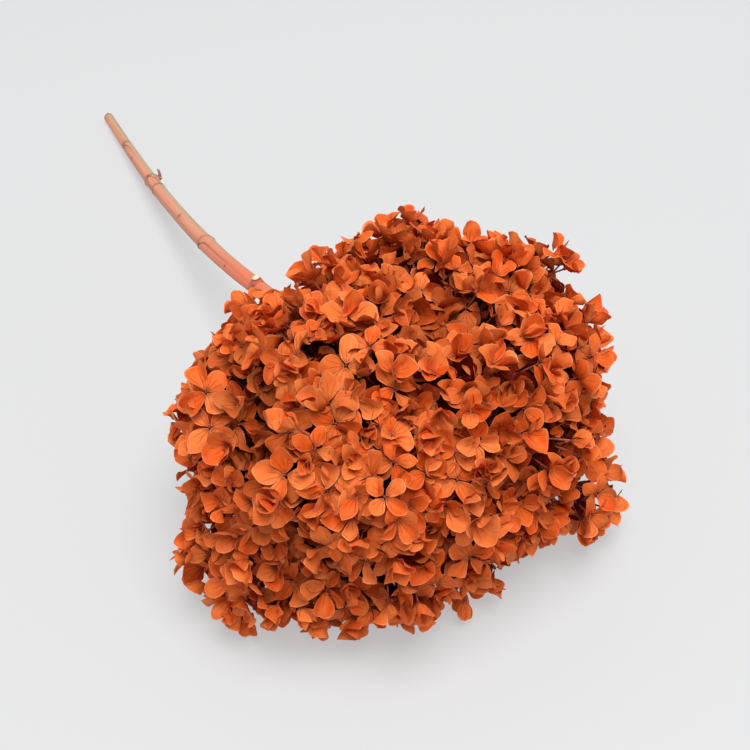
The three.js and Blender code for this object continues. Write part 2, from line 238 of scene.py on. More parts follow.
class GrowthTree:
    """A Geometry Nodes tree with named inputs. Run once on a mesh, it leaves a plain mesh there."""

    def __init__(self, name: str) -> None:
        """Starts the tree with a way in and a way out for the geometry.

        Args:
            name: what the tree is called.
        """
        self.tree = bpy.data.node_groups.new(name, "GeometryNodeTree")
        self.sheet = NodeSheet(self.tree)
        self.entry = self.tree.nodes.new("NodeGroupInput")
        self.exit = self.tree.nodes.new("NodeGroupOutput")
        for way in ("INPUT", "OUTPUT"):
            self.tree.interface.new_socket("Geometry", in_out=way, socket_type="NodeSocketGeometry")

    def input(self, name: str, kind: str) -> bpy.types.NodeSocket:
        """Adds a named input.

        Args:
            name: what the input is called.
            kind: its type, such as Float or Material.

        Returns:
            The socket that carries it inside the tree.
        """
        self.tree.interface.new_socket(name, in_out="INPUT", socket_type=f"NodeSocket{kind}")
        return self.entry.outputs[name]

    def read(self, name: str, kind: str) -> bpy.types.NodeSocket:
        """Reads an attribute of the geometry by name."""
        return self.sheet.add("GeometryNodeInputNamedAttribute", {"Name": name}, data_type=kind).outputs[0]

    def finish(self, geometry: bpy.types.NodeSocket) -> None:
        """Ends the tree in Realize Instances and Set Material.

        Args:
            geometry: the socket that carries the finished geometry.
        """
        real = self.sheet.add("GeometryNodeRealizeInstances", {"Geometry": geometry})
        finish = {"Geometry": real.outputs[0], "Material": self.input("Material", "Material")}
        dressed = self.sheet.add("GeometryNodeSetMaterial", finish)
        self.tree.links.new(dressed.outputs[0], self.exit.inputs[0])

    def grow(self, seed: bpy.types.Object, values: dict[str, object]) -> bpy.types.Object:
        """Runs the tree on an object and keeps the result as its plain mesh.

        Args:
            seed: the object whose mesh the tree starts from.
            values: a value for each named input.

        Returns:
            The same object, with its new mesh.
        """
        modifier = seed.modifiers.new(self.tree.name, "NODES")
        modifier.node_group = self.tree
        for item in self.tree.interface.items_tree:
            if item.in_out == "INPUT" and item.name in values:
                modifier[item.identifier] = values[item.name]
        graph = bpy.context.evaluated_depsgraph_get()
        grown = bpy.data.meshes.new_from_object(
            seed.evaluated_get(graph), preserve_all_data_layers=True, depsgraph=graph
        )
        seed.modifiers.remove(modifier)
        seed.data = grown
        return seed


def make_object(name: str, mesh: bpy.types.Mesh) -> bpy.types.Object:
    """Puts a mesh into the scene as an object at the origin.

    Args:
        name: what the object is called.
        mesh: its mesh.

    Returns:
        The object.
    """
    made = bpy.data.objects.new(name, mesh)
    bpy.context.scene.collection.objects.link(made)
    return made


def make_mesh(name: str, points: Array, faces: Sequence = (), edges: Sequence = ()) -> bpy.types.Mesh:
    """Makes a smooth-shaded mesh.

    Args:
        name: what the mesh is called.
        points: its vertices.
        faces: the vertex numbers of each face.
        edges: the vertex numbers of each edge, where there are no faces.

    Returns:
        The mesh.
    """
    mesh = bpy.data.meshes.new(name)
    mesh.from_pydata([tuple(map(float, point)) for point in points], edges, faces)
    mesh.polygons.foreach_set("use_smooth", [True] * len(mesh.polygons))
    mesh.update()
    return mesh


def write_attribute(mesh: bpy.types.Mesh, name: str, kind: str, values: Sequence | Array) -> None:
    """Stores a value for each vertex of a mesh.

    Args:
        mesh: the mesh that gets the attribute.
        name: what the attribute is called.
        kind: FLOAT, INT, FLOAT_VECTOR or QUATERNION.
        values: one value, or one row, for each vertex.
    """
    slot = "vector" if kind == "FLOAT_VECTOR" else "value"
    flat = np.asarray(values).ravel()
    mesh.attributes.new(name, kind, "POINT").data.foreach_set(slot, flat)


def mount_piece(piece: bpy.types.Object, node: str) -> None:
    """Parents a piece to the body, hides the CAD node that it stands for, and logs its faces.

    Args:
        piece: the finished piece.
        node: the CAD node that it replaces.
    """
    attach(piece, BODY)
    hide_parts(node)
    log.info("%s: %d faces", piece.name, len(piece.data.polygons))


@dataclass(frozen=True)
class PetalFinish:
    """Dried, dyed petals: matt, a little translucent, with fine veins from the eye, rims paler as a painted
    highlight, and painted shade inside the head.
    """

    pale: Colour = (0.88, 0.242, 0.06)
    rich: Colour = (0.75, 0.076, 0.0005)
    vein: Colour = (0.28, 0.02, 0.002)
    # painted highlight along the sepals' thin edges
    rim: Colour = (1.0, 0.42, 0.2)
    # painted shade, laid on the florets that lie deep in the head or in its hollows
    deep: Colour = (0.16, 0.008, 0.001)
    through: Colour = (0.82, 0.09, 0.001)  # of light that shines through a petal
    through_share: float = 0.22
    roughness: float = 0.45
    specular: float = 0.08
    sheen: float = 0.01
    sheen_tint: Colour = (1.0, 0.75, 0.65)
    cloud_scale: float = 260.0
    cloud_share: float = 0.5  # of the patches within a petal in its shade
    tone_share: float = 0.36  # and of the petal's own tone
    palest: float = 0.78
    veins: float = 9.0
    fan_start: float = 0.1  # how far behind the petal's base its veins meet
    waviness: float = 0.09
    vein_width: float = 0.24
    vein_ends: tuple[float, float] = (0.8, 0.1)  # where along the petal a vein is gone, and where it is full
    vein_share: float = 0.85
    throat: float = 0.24
    throat_share: float = 0.75
    rim_highlight_start: float = 0.84
    rim_highlight_share: float = 0.45
    puckers: float = 0.6
    bump: float = 0.6
    bump_depth: float = 0.0006

    def make(self) -> bpy.types.Material:
        """Makes the material.

        Returns:
            The petals' material, which reads their UV map and their tone, their rim for a painted highlight
            and their depth for painted shade.
        """
        material, sheet = blank_material("dyed_petals")
        place = sheet.add("ShaderNodeTexCoord")
        local = sheet.add("ShaderNodeSeparateXYZ", {0: place.outputs["UV"]})
        across = sheet.maths("SUBTRACT", local.outputs[0], 0.5)
        along = local.outputs[1]
        cloud = sheet.mottle(place.outputs["Object"], self.cloud_scale)
        fan = sheet.maths("ARCTAN2", across, sheet.maths("ADD", along, self.fan_start))
        wavy = sheet.maths("MULTIPLY_ADD", cloud, self.waviness, fan)
        stripe = sheet.maths("ABSOLUTE", sheet.maths("SINE", sheet.maths("MULTIPLY", wavy, self.veins)))
        line = sheet.between(stripe, self.vein_width, 0.0)
        veined = sheet.maths("MULTIPLY", line, sheet.between(along, *self.vein_ends))
        tone = sheet.maths("MULTIPLY", sheet.attribute("tone").outputs["Fac"], self.tone_share)
        patchy = sheet.maths("MULTIPLY_ADD", cloud, self.cloud_share, tone)
        colour = sheet.mix(sheet.between(patchy, 0.0, self.palest), opaque(self.rich), opaque(self.pale))
        colour = sheet.coat(colour, veined, self.vein_share, self.vein)
        colour = sheet.coat(colour, sheet.between(along, self.throat, 0.0), self.throat_share, self.vein)
        # painted highlight: paler along each sepal's rim
        edge = sheet.between(sheet.attribute("rim").outputs["Fac"], self.rim_highlight_start, 1.0)
        colour = sheet.coat(colour, edge, self.rim_highlight_share, self.rim)
        # painted shade: the depth attribute darkens florets deep in the head and in its hollows
        inside = sheet.attribute("depth").outputs["Fac"]
        colour = sheet.mix(inside, colour, opaque(self.deep))
        relief = sheet.maths("SUBTRACT", sheet.maths("MULTIPLY", cloud, self.puckers), veined)
        normal = sheet.bump(relief, self.bump, self.bump_depth)
        face = sheet.skin(colour, self.roughness, self.specular, normal)
        face.inputs["Sheen Weight"].default_value = self.sheen
        face.inputs["Sheen Tint"].default_value = opaque(self.sheen_tint)
        # light shining through a petal takes the same painted shade
        glow_colour = sheet.mix(inside, opaque(self.through), opaque(self.deep))
        glow = sheet.add("ShaderNodeBsdfTranslucent", {"Color": glow_colour, "Normal": normal})
        layers = {0: self.through_share, 1: face.outputs[0], 2: glow.outputs[0]}
        both = sheet.add("ShaderNodeMixShader", layers)
        sheet.add("ShaderNodeOutputMaterial", {"Surface": both.outputs[0]})
        return material


@dataclass(frozen=True)
class StalkFinish:
    """Thin dyed stalks and buds: pinkish red, darker in patches."""

    name: str
    pale: Colour
    dark: Colour
    roughness: float = 0.6
    specular: float = 0.3
    cloud_scale: float = 400.0
    cloud_range: tuple[float, float] = (0.3, 0.7)
    bump: float = 0.3
    bump_depth: float = 0.0002

    def make(self) -> bpy.types.Material:
        """Makes the material.

        Returns:
            The material of stalks or of buds, by its name.
        """
        material, sheet = blank_material(self.name)
        place = sheet.add("ShaderNodeTexCoord").outputs["Object"]
        cloud = sheet.between(sheet.mottle(place, self.cloud_scale), *self.cloud_range)
        colour = sheet.mix(cloud, opaque(self.dark), opaque(self.pale))
        normal = sheet.bump(cloud, self.bump, self.bump_depth)
        face = sheet.skin(colour, self.roughness, self.specular, normal)
        sheet.add("ShaderNodeOutputMaterial", {"Surface": face.outputs[0]})
        return material


@dataclass(frozen=True)
class BarkFinish:
    """Dry bark: tan on top, pinkish below, where the tan on the top and right side is a painted highlight;
    redder towards the head, with dark joints and pale cuts.
    """

    tan: Colour = (0.46, 0.31, 0.2)
    pink: Colour = (0.64, 0.255, 0.155)
    red: Colour = (0.72, 0.135, 0.05)
    streak: Colour = (0.4, 0.17, 0.1)
    mark: Colour = (0.13, 0.04, 0.02)
    wood: Colour = (0.84, 0.68, 0.5)
    crack: Colour = (0.3, 0.15, 0.06)
    roughness: float = 0.55
    specular: float = 0.35
    patch_scale: float = 45.0
    patch_share: float = 0.6
    top_highlight_share: float = 0.15  # painted highlight: share of the top of the stem in the tan
    side_highlight_share: float = 0.6  # painted highlight: and that of its right side
    old_end: float = 0.3  # how far the tan grows stronger again towards the cut, as a share of the length
    old_share: float = 0.3
    tan_range: tuple[float, float] = (0.3, 0.72)
    red_patches: float = 0.2
    red_range: tuple[float, float] = (0.6, 0.9)
    red_share: float = 0.7
    streak_stretch: Point = (3.2, 3.2, 5.0)
    streak_scale: float = 2.2
    streak_detail: float = 4.0
    streak_range: tuple[float, float] = (0.5, 0.72)
    streak_share: float = 0.6
    crack_scale: float = 520.0
    crack_detail: float = 3.0
    crack_range: tuple[float, float] = (0.56, 0.64)
    bump: float = 0.35
    bump_depth: float = 0.0004

    def make(self) -> bpy.types.Material:
        """Makes the material.

        Returns:
            The bark's material, which reads the stem's grain, mark and cut.
        """
        material, sheet = blank_material("dry_bark")
        place = sheet.add("ShaderNodeTexCoord").outputs["Object"]
        grain = sheet.attribute("grain").outputs["Vector"]
        upward, sideways, along = sheet.add("ShaderNodeSeparateXYZ", {0: grain}).outputs
        stretched = sheet.add("ShaderNodeMapping", {"Vector": grain, "Scale": self.streak_stretch}).outputs[0]
        streaks = sheet.mottle(stretched, self.streak_scale, self.streak_detail)
        patches = sheet.mottle(place, self.patch_scale)
        # painted highlight: more tan on the stem's top and its right side
        tan = sheet.maths("MULTIPLY", upward, self.top_highlight_share)
        tan = sheet.maths("MULTIPLY_ADD", patches, self.patch_share, tan)
        tan = sheet.maths("MULTIPLY_ADD", sideways, self.side_highlight_share, tan)
        tan = sheet.maths("MULTIPLY_ADD", sheet.between(along, self.old_end, 0.0), self.old_share, tan)
        colour = sheet.mix(sheet.between(tan, *self.tan_range), opaque(self.pink), opaque(self.tan))
        nearer = sheet.maths("MULTIPLY_ADD", patches, self.red_patches, along)
        nearer = sheet.between(nearer, *self.red_range)
        colour = sheet.coat(colour, nearer, self.red_share, self.red)
        streaked = sheet.between(streaks, *self.streak_range)
        colour = sheet.coat(colour, streaked, self.streak_share, self.streak)
        colour = sheet.mix(sheet.attribute("mark").outputs["Fac"], colour, opaque(self.mark))
        cracks = sheet.between(sheet.mottle(place, self.crack_scale, self.crack_detail), *self.crack_range)
        wood = sheet.mix(cracks, opaque(self.wood), opaque(self.crack))
        colour = sheet.mix(sheet.attribute("cut").outputs["Fac"], colour, wood)
        normal = sheet.bump(streaks, self.bump, self.bump_depth)
        face = sheet.skin(colour, self.roughness, self.specular, normal)
        sheet.add("ShaderNodeOutputMaterial", {"Surface": face.outputs[0]})
        return material


@dataclass(frozen=True)
class FloorFinish:
    """A plain, pale, matt floor that is lit a little from below, as a light table is."""

    colour: Colour = (0.24, 0.242, 0.246)
    glow: float = 0.43
    glow_colour: Colour = (1.0, 1.0, 1.0)
    roughness: float = 0.55
    specular: float = 0.2

    def make(self) -> bpy.types.Material:
        """Makes the material.

        Returns:
            The floor's material.
        """
        material = bpy.data.materials.new("pale_floor")
        material.use_nodes = True
        values = {
            "Base Color": opaque(self.colour),
            "Roughness": self.roughness,
            "Specular IOR Level": self.specular,
            "Emission Color": opaque(self.glow_colour),
            "Emission Strength": self.glow,
        }
        for name, value in values.items():
            material.node_tree.nodes["Principled BSDF"].inputs[name].default_value = value
        return material


@dataclass(frozen=True)
class Camera:
    """The photograph's camera, looking down at 45 degrees from the left of the head's front."""

    place: Point = (-192.26, -307.0, 445.0)
    azimuth: float = math.radians(-30.0)
    elevation: float = math.radians(45.0)
    sensor_width: float = 36.0
    focal_px: float = 1300.0
    nearest: float = 10.0

    def axes(self) -> Array:
        """Works out how the camera is turned.

        Returns:
            Its right, up and backward directions, one a row.
        """
        level = np.array([-math.sin(self.azimuth), math.cos(self.azimuth), 0.0])
        ahead = level * math.cos(self.elevation) - UP * math.sin(self.elevation)
        right = unit(np.cross(ahead, UP))
        return np.array([right, np.cross(right, ahead), -ahead])

    def ray(self, column: float, row: float) -> Array:
        """Works out the direction in which a pixel of the photograph looks.

        Args:
            column: how far the pixel is from the photograph's left side.
            row: how far it is from its top.

        Returns:
            The direction, as a unit vector.
        """
        middle = PHOTO_WIDTH / 2
        right, up, back = self.axes()
        return unit(right * (column - middle) - up * (row - middle) - back * self.focal_px)

    def make(self, bench: Bench) -> None:
        """Puts the camera into the scene and makes it the active one.

        Args:
            bench: turns the camera's place into the frame's.
        """
        data = bpy.data.cameras.new("photo_camera")
        data.sensor_width = self.sensor_width
        data.lens = self.sensor_width * self.focal_px / PHOTO_WIDTH
        data.clip_start = self.nearest * MM
        made = bpy.data.objects.new("photo_camera", data)
        turn = Matrix(self.axes().T.tolist()).to_4x4()
        made.matrix_world = Matrix.Translation(bench.to_frame(np.array([self.place]))[0]) @ turn
        bpy.context.scene.collection.objects.link(made)
        bpy.context.scene.camera = made


@dataclass(frozen=True)
class Studio:
    """A wide pale floor, a large soft light from above and a little in front, and an even fill."""

    floor_half: float = 4000.0
    key_from: Point = (-60.0, -400.0, 2000.0)  # it is turned to the frame's origin
    key_size: float = 1300.0
    key_watts: float = 52.0
    fill_strength: float = 0.5
    fill_colour: Colour = (0.97, 0.985, 1.0)
    finish: FloorFinish = FloorFinish()

    def make(self, bench: Bench) -> None:
        """Builds the floor and the lights.

        Args:
            bench: turns the light's place into the frame's.
        """
        corners = np.array([(-1, -1, 0), (1, -1, 0), (1, 1, 0), (-1, 1, 0)]) * self.floor_half * MM
        floor = make_object("floor", make_mesh("floor", corners, [(0, 1, 2, 3)]))
        floor.data.materials.append(self.finish.make())
        data = bpy.data.lights.new("soft_key", "AREA")
        data.size = self.key_size * MM
        data.energy = self.key_watts
        key = bpy.data.objects.new("soft_key", data)
        place = Vector(bench.to_frame(np.array([self.key_from]))[0])
        key.matrix_world = Matrix.Translation(place) @ place.to_track_quat("Z", "Y").to_matrix().to_4x4()
        bpy.context.scene.collection.objects.link(key)
        world = bpy.data.worlds.new("even_fill")
        world.use_nodes = True
        sky = world.node_tree.nodes["Background"]
        sky.inputs["Color"].default_value = opaque(self.fill_colour)
        sky.inputs["Strength"].default_value = self.fill_strength
        bpy.context.scene.world = world
        bpy.context.scene.view_settings.view_transform = "Standard"


@dataclass(frozen=True)
class Swell:
    """A bulge or a hollow of the head's outline."""

    towards: Point
    share: float  # how far it moves the outline, as a share of the reach there
    spread: float  # how wide it is: the fall of the cosine over which it fades


@dataclass(frozen=True)
class HeadForm:
    """The head's outline: a boxy ellipsoid with bulges and hollows."""

    half: Point = (90.0, 76.0, 62.0)
    centre: Point = (-3.0, 6.0, 62.0)
    squareness: float = 2.5
    search: tuple[float, float, float] = (300.0, 900.0, 0.5)  # from, to and step along a camera ray
    swells: tuple[Swell, ...] = (
        Swell((0.0, 1.0, 0.15), -0.14, 0.2),  # hollow round the stem
        Swell((-0.33, 0.76, 0.56), -0.06, 0.03),
        Swell((-0.57, 0.74, 0.35), -0.17, 0.07),  # cut-back left shoulder
        Swell((-0.94, 0.33, 0.1), -0.07, 0.03),  # and left flank
        Swell((-0.95, 0.24, -0.1), -0.04, 0.01),
        Swell((-0.87, -0.33, -0.4), 0.05, 0.01),
        Swell((-0.85, -0.18, -0.49), 0.27, 0.04),  # left skirt, splayed on the table
        Swell((0.68, -0.63, -0.44), 0.26, 0.018),  # right skirt
        Swell((-0.35, -0.78, -0.54), 0.15, 0.035),  # front lip
        Swell((-0.05, -0.84, -0.54), 0.09, 0.012),
        Swell((-0.62, -0.64, -0.45), 0.04, 0.02),
        Swell((-0.08, 0.72, 0.69), -0.08, 0.025),  # dip before the crest
        Swell((0.42, 0.57, 0.7), 0.09, 0.018),  # crest
        Swell((0.76, 0.44, 0.48), -0.17, 0.02),  # valley behind it
        Swell((0.74, 0.26, 0.62), -0.07, 0.008),
        Swell((0.87, 0.1, 0.48), 0.1, 0.013),  # right crest
        Swell((0.86, -0.4, 0.1), -0.07, 0.06),  # cut-back right flank
    )
    hollows: tuple[Swell, ...] = (  # in a broken ring among the sprays; they dent the outline and lay painted shade on their florets
        Swell((0.0, -0.2, 0.98), -0.2, 0.012),
        Swell((0.21, -0.2, 0.96), -0.16, 0.01),
        Swell((0.37, -0.4, 0.83), -0.13, 0.008),
        Swell((0.22, -0.8, 0.58), -0.13, 0.008),
        Swell((0.1, -0.97, 0.24), -0.13, 0.008),
        Swell((-0.6, -0.22, 0.76), -0.11, 0.008),
        Swell((-0.83, -0.1, 0.55), -0.15, 0.01),
        Swell((-0.89, -0.28, 0.37), -0.15, 0.01),
        Swell((-0.84, -0.53, 0.11), -0.17, 0.008),
        Swell((-0.73, -0.68, -0.09), -0.1, 0.007),
    )

    @staticmethod
    def swelling(ways: Array, swells: Sequence[Swell]) -> Array:
        """By what share some swells move the outline in each direction, outwards where it is above 0."""
        moves = (swell.share * np.exp((ways @ unit(swell.towards) - 1) / swell.spread) for swell in swells)
        return sum(moves)

    def shade(self, way: Array) -> float:
        """How far a direction looks into one of the hollows, from 0 to 1, which sets the painted shade of
        florets there.
        """
        deepest = min(hollow.share for hollow in self.hollows)
        return float(np.clip(self.swelling(way[None], self.hollows)[0] / deepest, 0, 1))

    def reach(self, ways: Array) -> Array:
        """How far the head reaches from its centre in each direction.

        Args:
            ways: unit vectors, one a row.

        Returns:
            A distance for each.
        """
        share = 1 + self.swelling(ways, self.swells) + self.swelling(ways, self.hollows)
        boxy = (np.abs(ways / self.half) ** self.squareness).sum(axis=1)
        return share * boxy ** (-1 / self.squareness)

    def points(self, ways: Array, share: float = 1.0, depth: float | Array = 0.0) -> Array:
        """Points in given directions, at a share of the reach and a depth inside it."""
        distance = share * self.reach(ways) - depth
        return np.array(self.centre) + ways * distance[:, None]

    def normal(self, way: Array, step: float = 0.12) -> Array:
        """Works out which way the outline faces, from its points in four directions close by.

        Args:
            way: the direction from the head's centre.
            step: how far off the four directions are.

        Returns:
            The outline's normal there, as a unit vector.
        """
        side = unit(np.cross(UP, way) if abs(way[2]) < NEARLY_UP else RIGHT)
        over = np.cross(way, side)
        near = unit(np.array([way + step * side, way - step * side, way + step * over, way - step * over]))
        around = self.points(near)
        return unit(np.cross(around[0] - around[1], around[2] - around[3]))

    def meet(self, eye: Array, way: Array, depth: float) -> Array | None:
        """Where a ray first comes as deep as given inside the outline.

        Args:
            eye: where the ray starts.
            way: its direction.
            depth: how far inside the outline the point lies.

        Returns:
            The direction of that point from the head's centre, or None if the ray misses.
        """
        middle = np.array(self.centre)
        for distance in np.arange(*self.search):
            offset = eye + way * distance - middle
            far = np.linalg.norm(offset)
            towards = offset / far
            if far < self.reach(towards[None])[0] - depth:
                return towards
        return None


@dataclass(frozen=True)
class StemLine:
    """The stem's middle line: a smooth curve from the cut end to the crown."""

    knots: tuple[Point, ...] = (
        (0.0, 346.0, 2.6),
        (-3.5, 302.0, 6.4),
        (-7.0, 256.0, 12.6),
        (-9.5, 208.0, 21.4),
        (-10.8, 160.0, 32.5),
        (-10.8, 118.0, 44.5),
        (-9.0, 82.0, 54.0),
        (-7.0, 56.0, 59.0),
    )
    steps: int = 40

    def trace(self) -> Array:
        """Lays points closely on the curve, equally many between each two knots.

        Returns:
            The points, from the cut end to the crown.
        """
        knots = np.array(self.knots)
        padded = np.vstack([2 * knots[0] - knots[1], knots, 2 * knots[-1] - knots[-2]])
        traced = [knots[0]]
        for before, start, end, after in zip(padded, padded[1:], padded[2:], padded[3:]):
            pairs = ((before, start), (start, end), (end, after))
            first, own, last = (math.sqrt(np.linalg.norm(b - a)) for a, b in pairs)
            slope_in = (start - before) / first - (end - before) / (first + own) + (end - start) / own
            slope_out = (end - start) / own - (after - start) / (own + last) + (after - end) / last
            slope_in, slope_out = slope_in * own, slope_out * own
            bend = -3 * start + 3 * end - 2 * slope_in - slope_out
            twist = 2 * start - 2 * end + slope_in + slope_out
            for t in np.arange(1, self.steps + 1) / self.steps:
                traced.append(start + slope_in * t + bend * t**2 + twist * t**3)
        return np.array(traced)

    def length(self) -> float:
        """How long the line is."""
        return float(np.linalg.norm(np.diff(self.trace(), axis=0), axis=1).sum())

    def frames(self, alongs: Array) -> tuple[Array, Array, Array, Array]:
        """The line's own frame at some distances from the cut end.

        Args:
            alongs: the distances.

        Returns:
            The points, and the forward, sideways and upward directions there.
        """
        traced = self.trace()
        run = np.concatenate([[0.0], np.cumsum(np.linalg.norm(np.diff(traced, axis=0), axis=1))])
        step = 1.0

        def at(places: Array) -> Array:
            """The points of the line at given distances."""
            clipped = np.clip(places, 0.0, run[-1])
            return np.stack([np.interp(clipped, run, traced[:, axis]) for axis in range(3)], axis=1)

        forward = unit(at(alongs + step) - at(alongs - step))
        side = unit(np.cross(UP, forward))
        return at(alongs), forward, side, np.cross(forward, side)


class Outline(Enum):
    """Outlines of a sepal, as how quickly it widens from its base and narrows to its tip."""

    OVATE = (0.8, 0.7)
    POINTED = (0.86, 0.92)
    ROUND = (0.7, 0.54)
    WEDGE = (1.15, 0.66)


@dataclass(frozen=True)
class SepalForm:
    """One thin sepal, from its base at the origin towards +Y, with its face towards +Z."""

    outline: Outline
    width: float  # as a share of the length
    bend: float  # radians by which the sepal turns up from base to tip
    tip_bend: float  # and those that come in its outer part alone
    fold: float  # slope of its halves, up from the rib
    cup: float  # rise of its sides, as a share of the width
    wave: float  # ripple of its sides, as a share of the width
    phase: float
    twist: float  # radians about its length
    length: float = 10.2
    thickness: float = 0.28
    ripples: float = 1.4  # along each side
    ripple_lag: float = 1.3  # radians by which the two sides differ
    rib_sink: float = 0.25  # how deep a fold's rib lies, as a share of the width
    columns: int = 4
    rows: int = 6
    rib_steps: int = 60

    def surface(self, across: Array, along: Array, lift: Array) -> Array:
        """Bends flat points of the sepal into its form.

        Args:
            across: how far each point is from the rib.
            along: how far it is from the base, as a share of the length.
            lift: how far it stands off the middle of the sepal's thickness.

        Returns:
            The bent points.
        """
        steps = np.linspace(0.0, 1.0, self.rib_steps)
        turns = self.bend * steps + self.tip_bend * steps**3
        rib = np.stack([np.cumsum(np.cos(turns)), np.cumsum(np.sin(turns))]) * self.length / len(steps)
        rib -= rib[:, :1]
        turn = self.bend * along + self.tip_bend * along**3
        rib_y = np.interp(along, steps, rib[0])
        rib_z = np.interp(along, steps, rib[1])
        wide = self.width * self.length
        share = 2 * across / wide
        swing = np.sin(2 * math.pi * self.ripples * along + self.phase + self.ripple_lag * np.sign(across))
        height = self.fold * (np.abs(across) - self.rib_sink * wide) * np.minimum(1, 3 * along)
        height += self.cup * wide * share**2 + self.wave * wide * swing * share**2 + lift
        roll = self.twist * along
        sideways = across * np.cos(roll) - height * np.sin(roll)
        height = across * np.sin(roll) + height * np.cos(roll)
        return np.stack([sideways, rib_y - height * np.sin(turn), rib_z + height * np.cos(turn)], axis=1)

    def make(self, name: str) -> bpy.types.Object:
        """Builds the sepal as a closed thin shell whose two faces meet at the rim.

        Args:
            name: what the object is called.

        Returns:
            The object, in metres, with its UV map and its rim attribute.
        """
        a, b = np.meshgrid(np.linspace(-1, 1, self.columns + 1), np.linspace(-1, 1, self.rows + 1))
        a, b = a.ravel(), b.ravel()
        disc_x, disc_y = a * np.sqrt(1 - b**2 / 2), b * np.sqrt(1 - a**2 / 2)
        along = (disc_y + 1) / 2
        widen, narrow = self.outline.value
        widest = widen / (widen + narrow)
        fullest = 2 * widest**widen * (1 - widest) ** narrow
        open_along = np.clip(along, TINY, 1 - TINY)
        full = open_along ** (widen - 0.5) * (1 - open_along) ** (narrow - 0.5) / fullest
        across = disc_x * full * self.width * self.length / 2
        rim = np.clip(disc_x**2 + disc_y**2, 0, 1)
        on_rim = (np.abs(a) > NEARLY_ONE) | (np.abs(b) > NEARLY_ONE)
        lift = self.thickness / 2 * (1 - rim) * ~on_rim
        front = self.surface(across, along, lift)
        back = self.surface(across, along, -lift)
        inner = np.flatnonzero(~on_rim)
        behind = np.arange(len(a))
        behind[inner] = len(a) + np.arange(len(inner))
        faces = []
        for row in range(self.rows):
            for column in range(self.columns):
                corner = row * (self.columns + 1) + column
                ring = [corner, corner + 1, corner + self.columns + 2, corner + self.columns + 1]
                faces.append(ring)
                faces.append([int(behind[index]) for index in reversed(ring)])
        mesh = make_mesh(name, np.vstack([front, back[inner]]) * MM, faces)
        source = np.concatenate([np.arange(len(a)), inner])
        write_attribute(mesh, "rim", "FLOAT", np.where(on_rim, 1.0, rim)[source])
        flat = np.stack([across / self.length + 0.5, along], axis=1)[source]
        corners = np.empty(len(mesh.loops), dtype=int)
        mesh.loops.foreach_get("vertex_index", corners)
        mesh.uv_layers.new(name="UVMap").data.foreach_set("uv", flat[corners].ravel())
        for edge in mesh.edges:
            edge.use_edge_sharp = all(index < len(a) and on_rim[index] for index in edge.vertices)
        return bpy.data.objects.new(name, mesh)


@dataclass
class SepalBox:
    """A box of differently bent sepals, to draw from."""

    count: int = 36
    seed: int = 5
    outlines: tuple[Outline, ...] = (
        Outline.OVATE,
        Outline.POINTED,
        Outline.WEDGE,
        Outline.OVATE,
        Outline.ROUND,
        Outline.POINTED,
    )

    def make(self) -> bpy.types.Collection:
        """Builds the sepals.

        Returns:
            A collection of them, outside the scene.
        """
        draw = np.random.default_rng(self.seed)
        box = bpy.data.collections.new("sepal_forms")
        for number in range(self.count):
            form = SepalForm(
                outline=self.outlines[number % len(self.outlines)],
                width=draw.uniform(0.58, 0.84),
                bend=draw.uniform(-0.7, 0.9),
                tip_bend=draw.uniform(-1.2, 0.9),
                fold=draw.choice([0.0, draw.uniform(0.25, 0.9)]),
                cup=draw.uniform(-0.2, 0.35),
                wave=draw.uniform(0.03, 0.2),
                phase=draw.uniform(0.0, 2 * math.pi),
                twist=draw.uniform(-0.45, 0.45),
            )
            box.objects.link(form.make(f"sepal_form_{number:02d}"))
        return box

    @staticmethod
    def empty(box: bpy.types.Collection) -> None:
        """Throws the loose sepals away once the florets are grown.

        Args:
            box: the collection that make() gave.
        """
        for form in list(box.objects):
            bpy.data.objects.remove(form)
        bpy.data.collections.remove(box)


@dataclass
class Floret:
    """One floret: where its eye is, which way it faces, and how its four sepals stand."""

    eye: Array
    facing: Array
    across: Array  # the direction of its first sepal, square to facing
    rise: float  # radians by which its sepals stand up from flat
    size: float
    dark: float  # painted shade: 0 at the head's surface, 1 deep inside
    root: Array  # where its stalk leaves the twig
    spray: int

    def basis(self) -> Array:
        """The floret's own axes, one a column: its first sepal, the second, and the way it faces."""
        first = unit(self.across - self.facing * (self.across @ self.facing))
        return np.stack([first, np.cross(self.facing, first), self.facing], axis=1)


@dataclass(frozen=True)
class SeenFloret:
    """A floret that stands out in the photograph, and how its first sepal turns in the picture."""

    column: float  # the pixel of its eye
    row: float
    turn: float  # degrees, anticlockwise from the right


@dataclass(frozen=True)
class Layer:
    """Florets or buds at about the same depth inside the head."""

    count: int
    depths: tuple[float, float]
    dark: float  # painted shade: 0 at the head's surface, 1 deep inside


@dataclass(frozen=True)
class Branching:
    """The stalks inside the head: forks from the crown, twigs on them, and the florets' own on those."""

    crown: Point = (-7.0, 50.0, 60.0)
    forks: int = 8
    fork_share: float = 0.36  # of the head's reach, where the forks end
    fork_radii: tuple[float, float] = (2.7, 1.9)
    fork_bow: float = 4.0
    twigs: int = 64
    twig_share: float = 0.66
    twig_radii: tuple[float, float] = (1.5, 0.85)
    twig_bow: float = 3.0
    twig_roots: tuple[float, ...] = (1.0, 0.9, 0.8, 0.7, 0.6, 0.5)  # shares along a fork
    stalk_roots: tuple[float, float] = (0.7, 1.0)  # shares along a twig
    stalk_radii: tuple[float, float] = (0.5, 0.38)
    stalk_heel: float = 0.45  # how far down a stalk keeps the way its floret faces
    steps: int = 5
    sides: int = 7


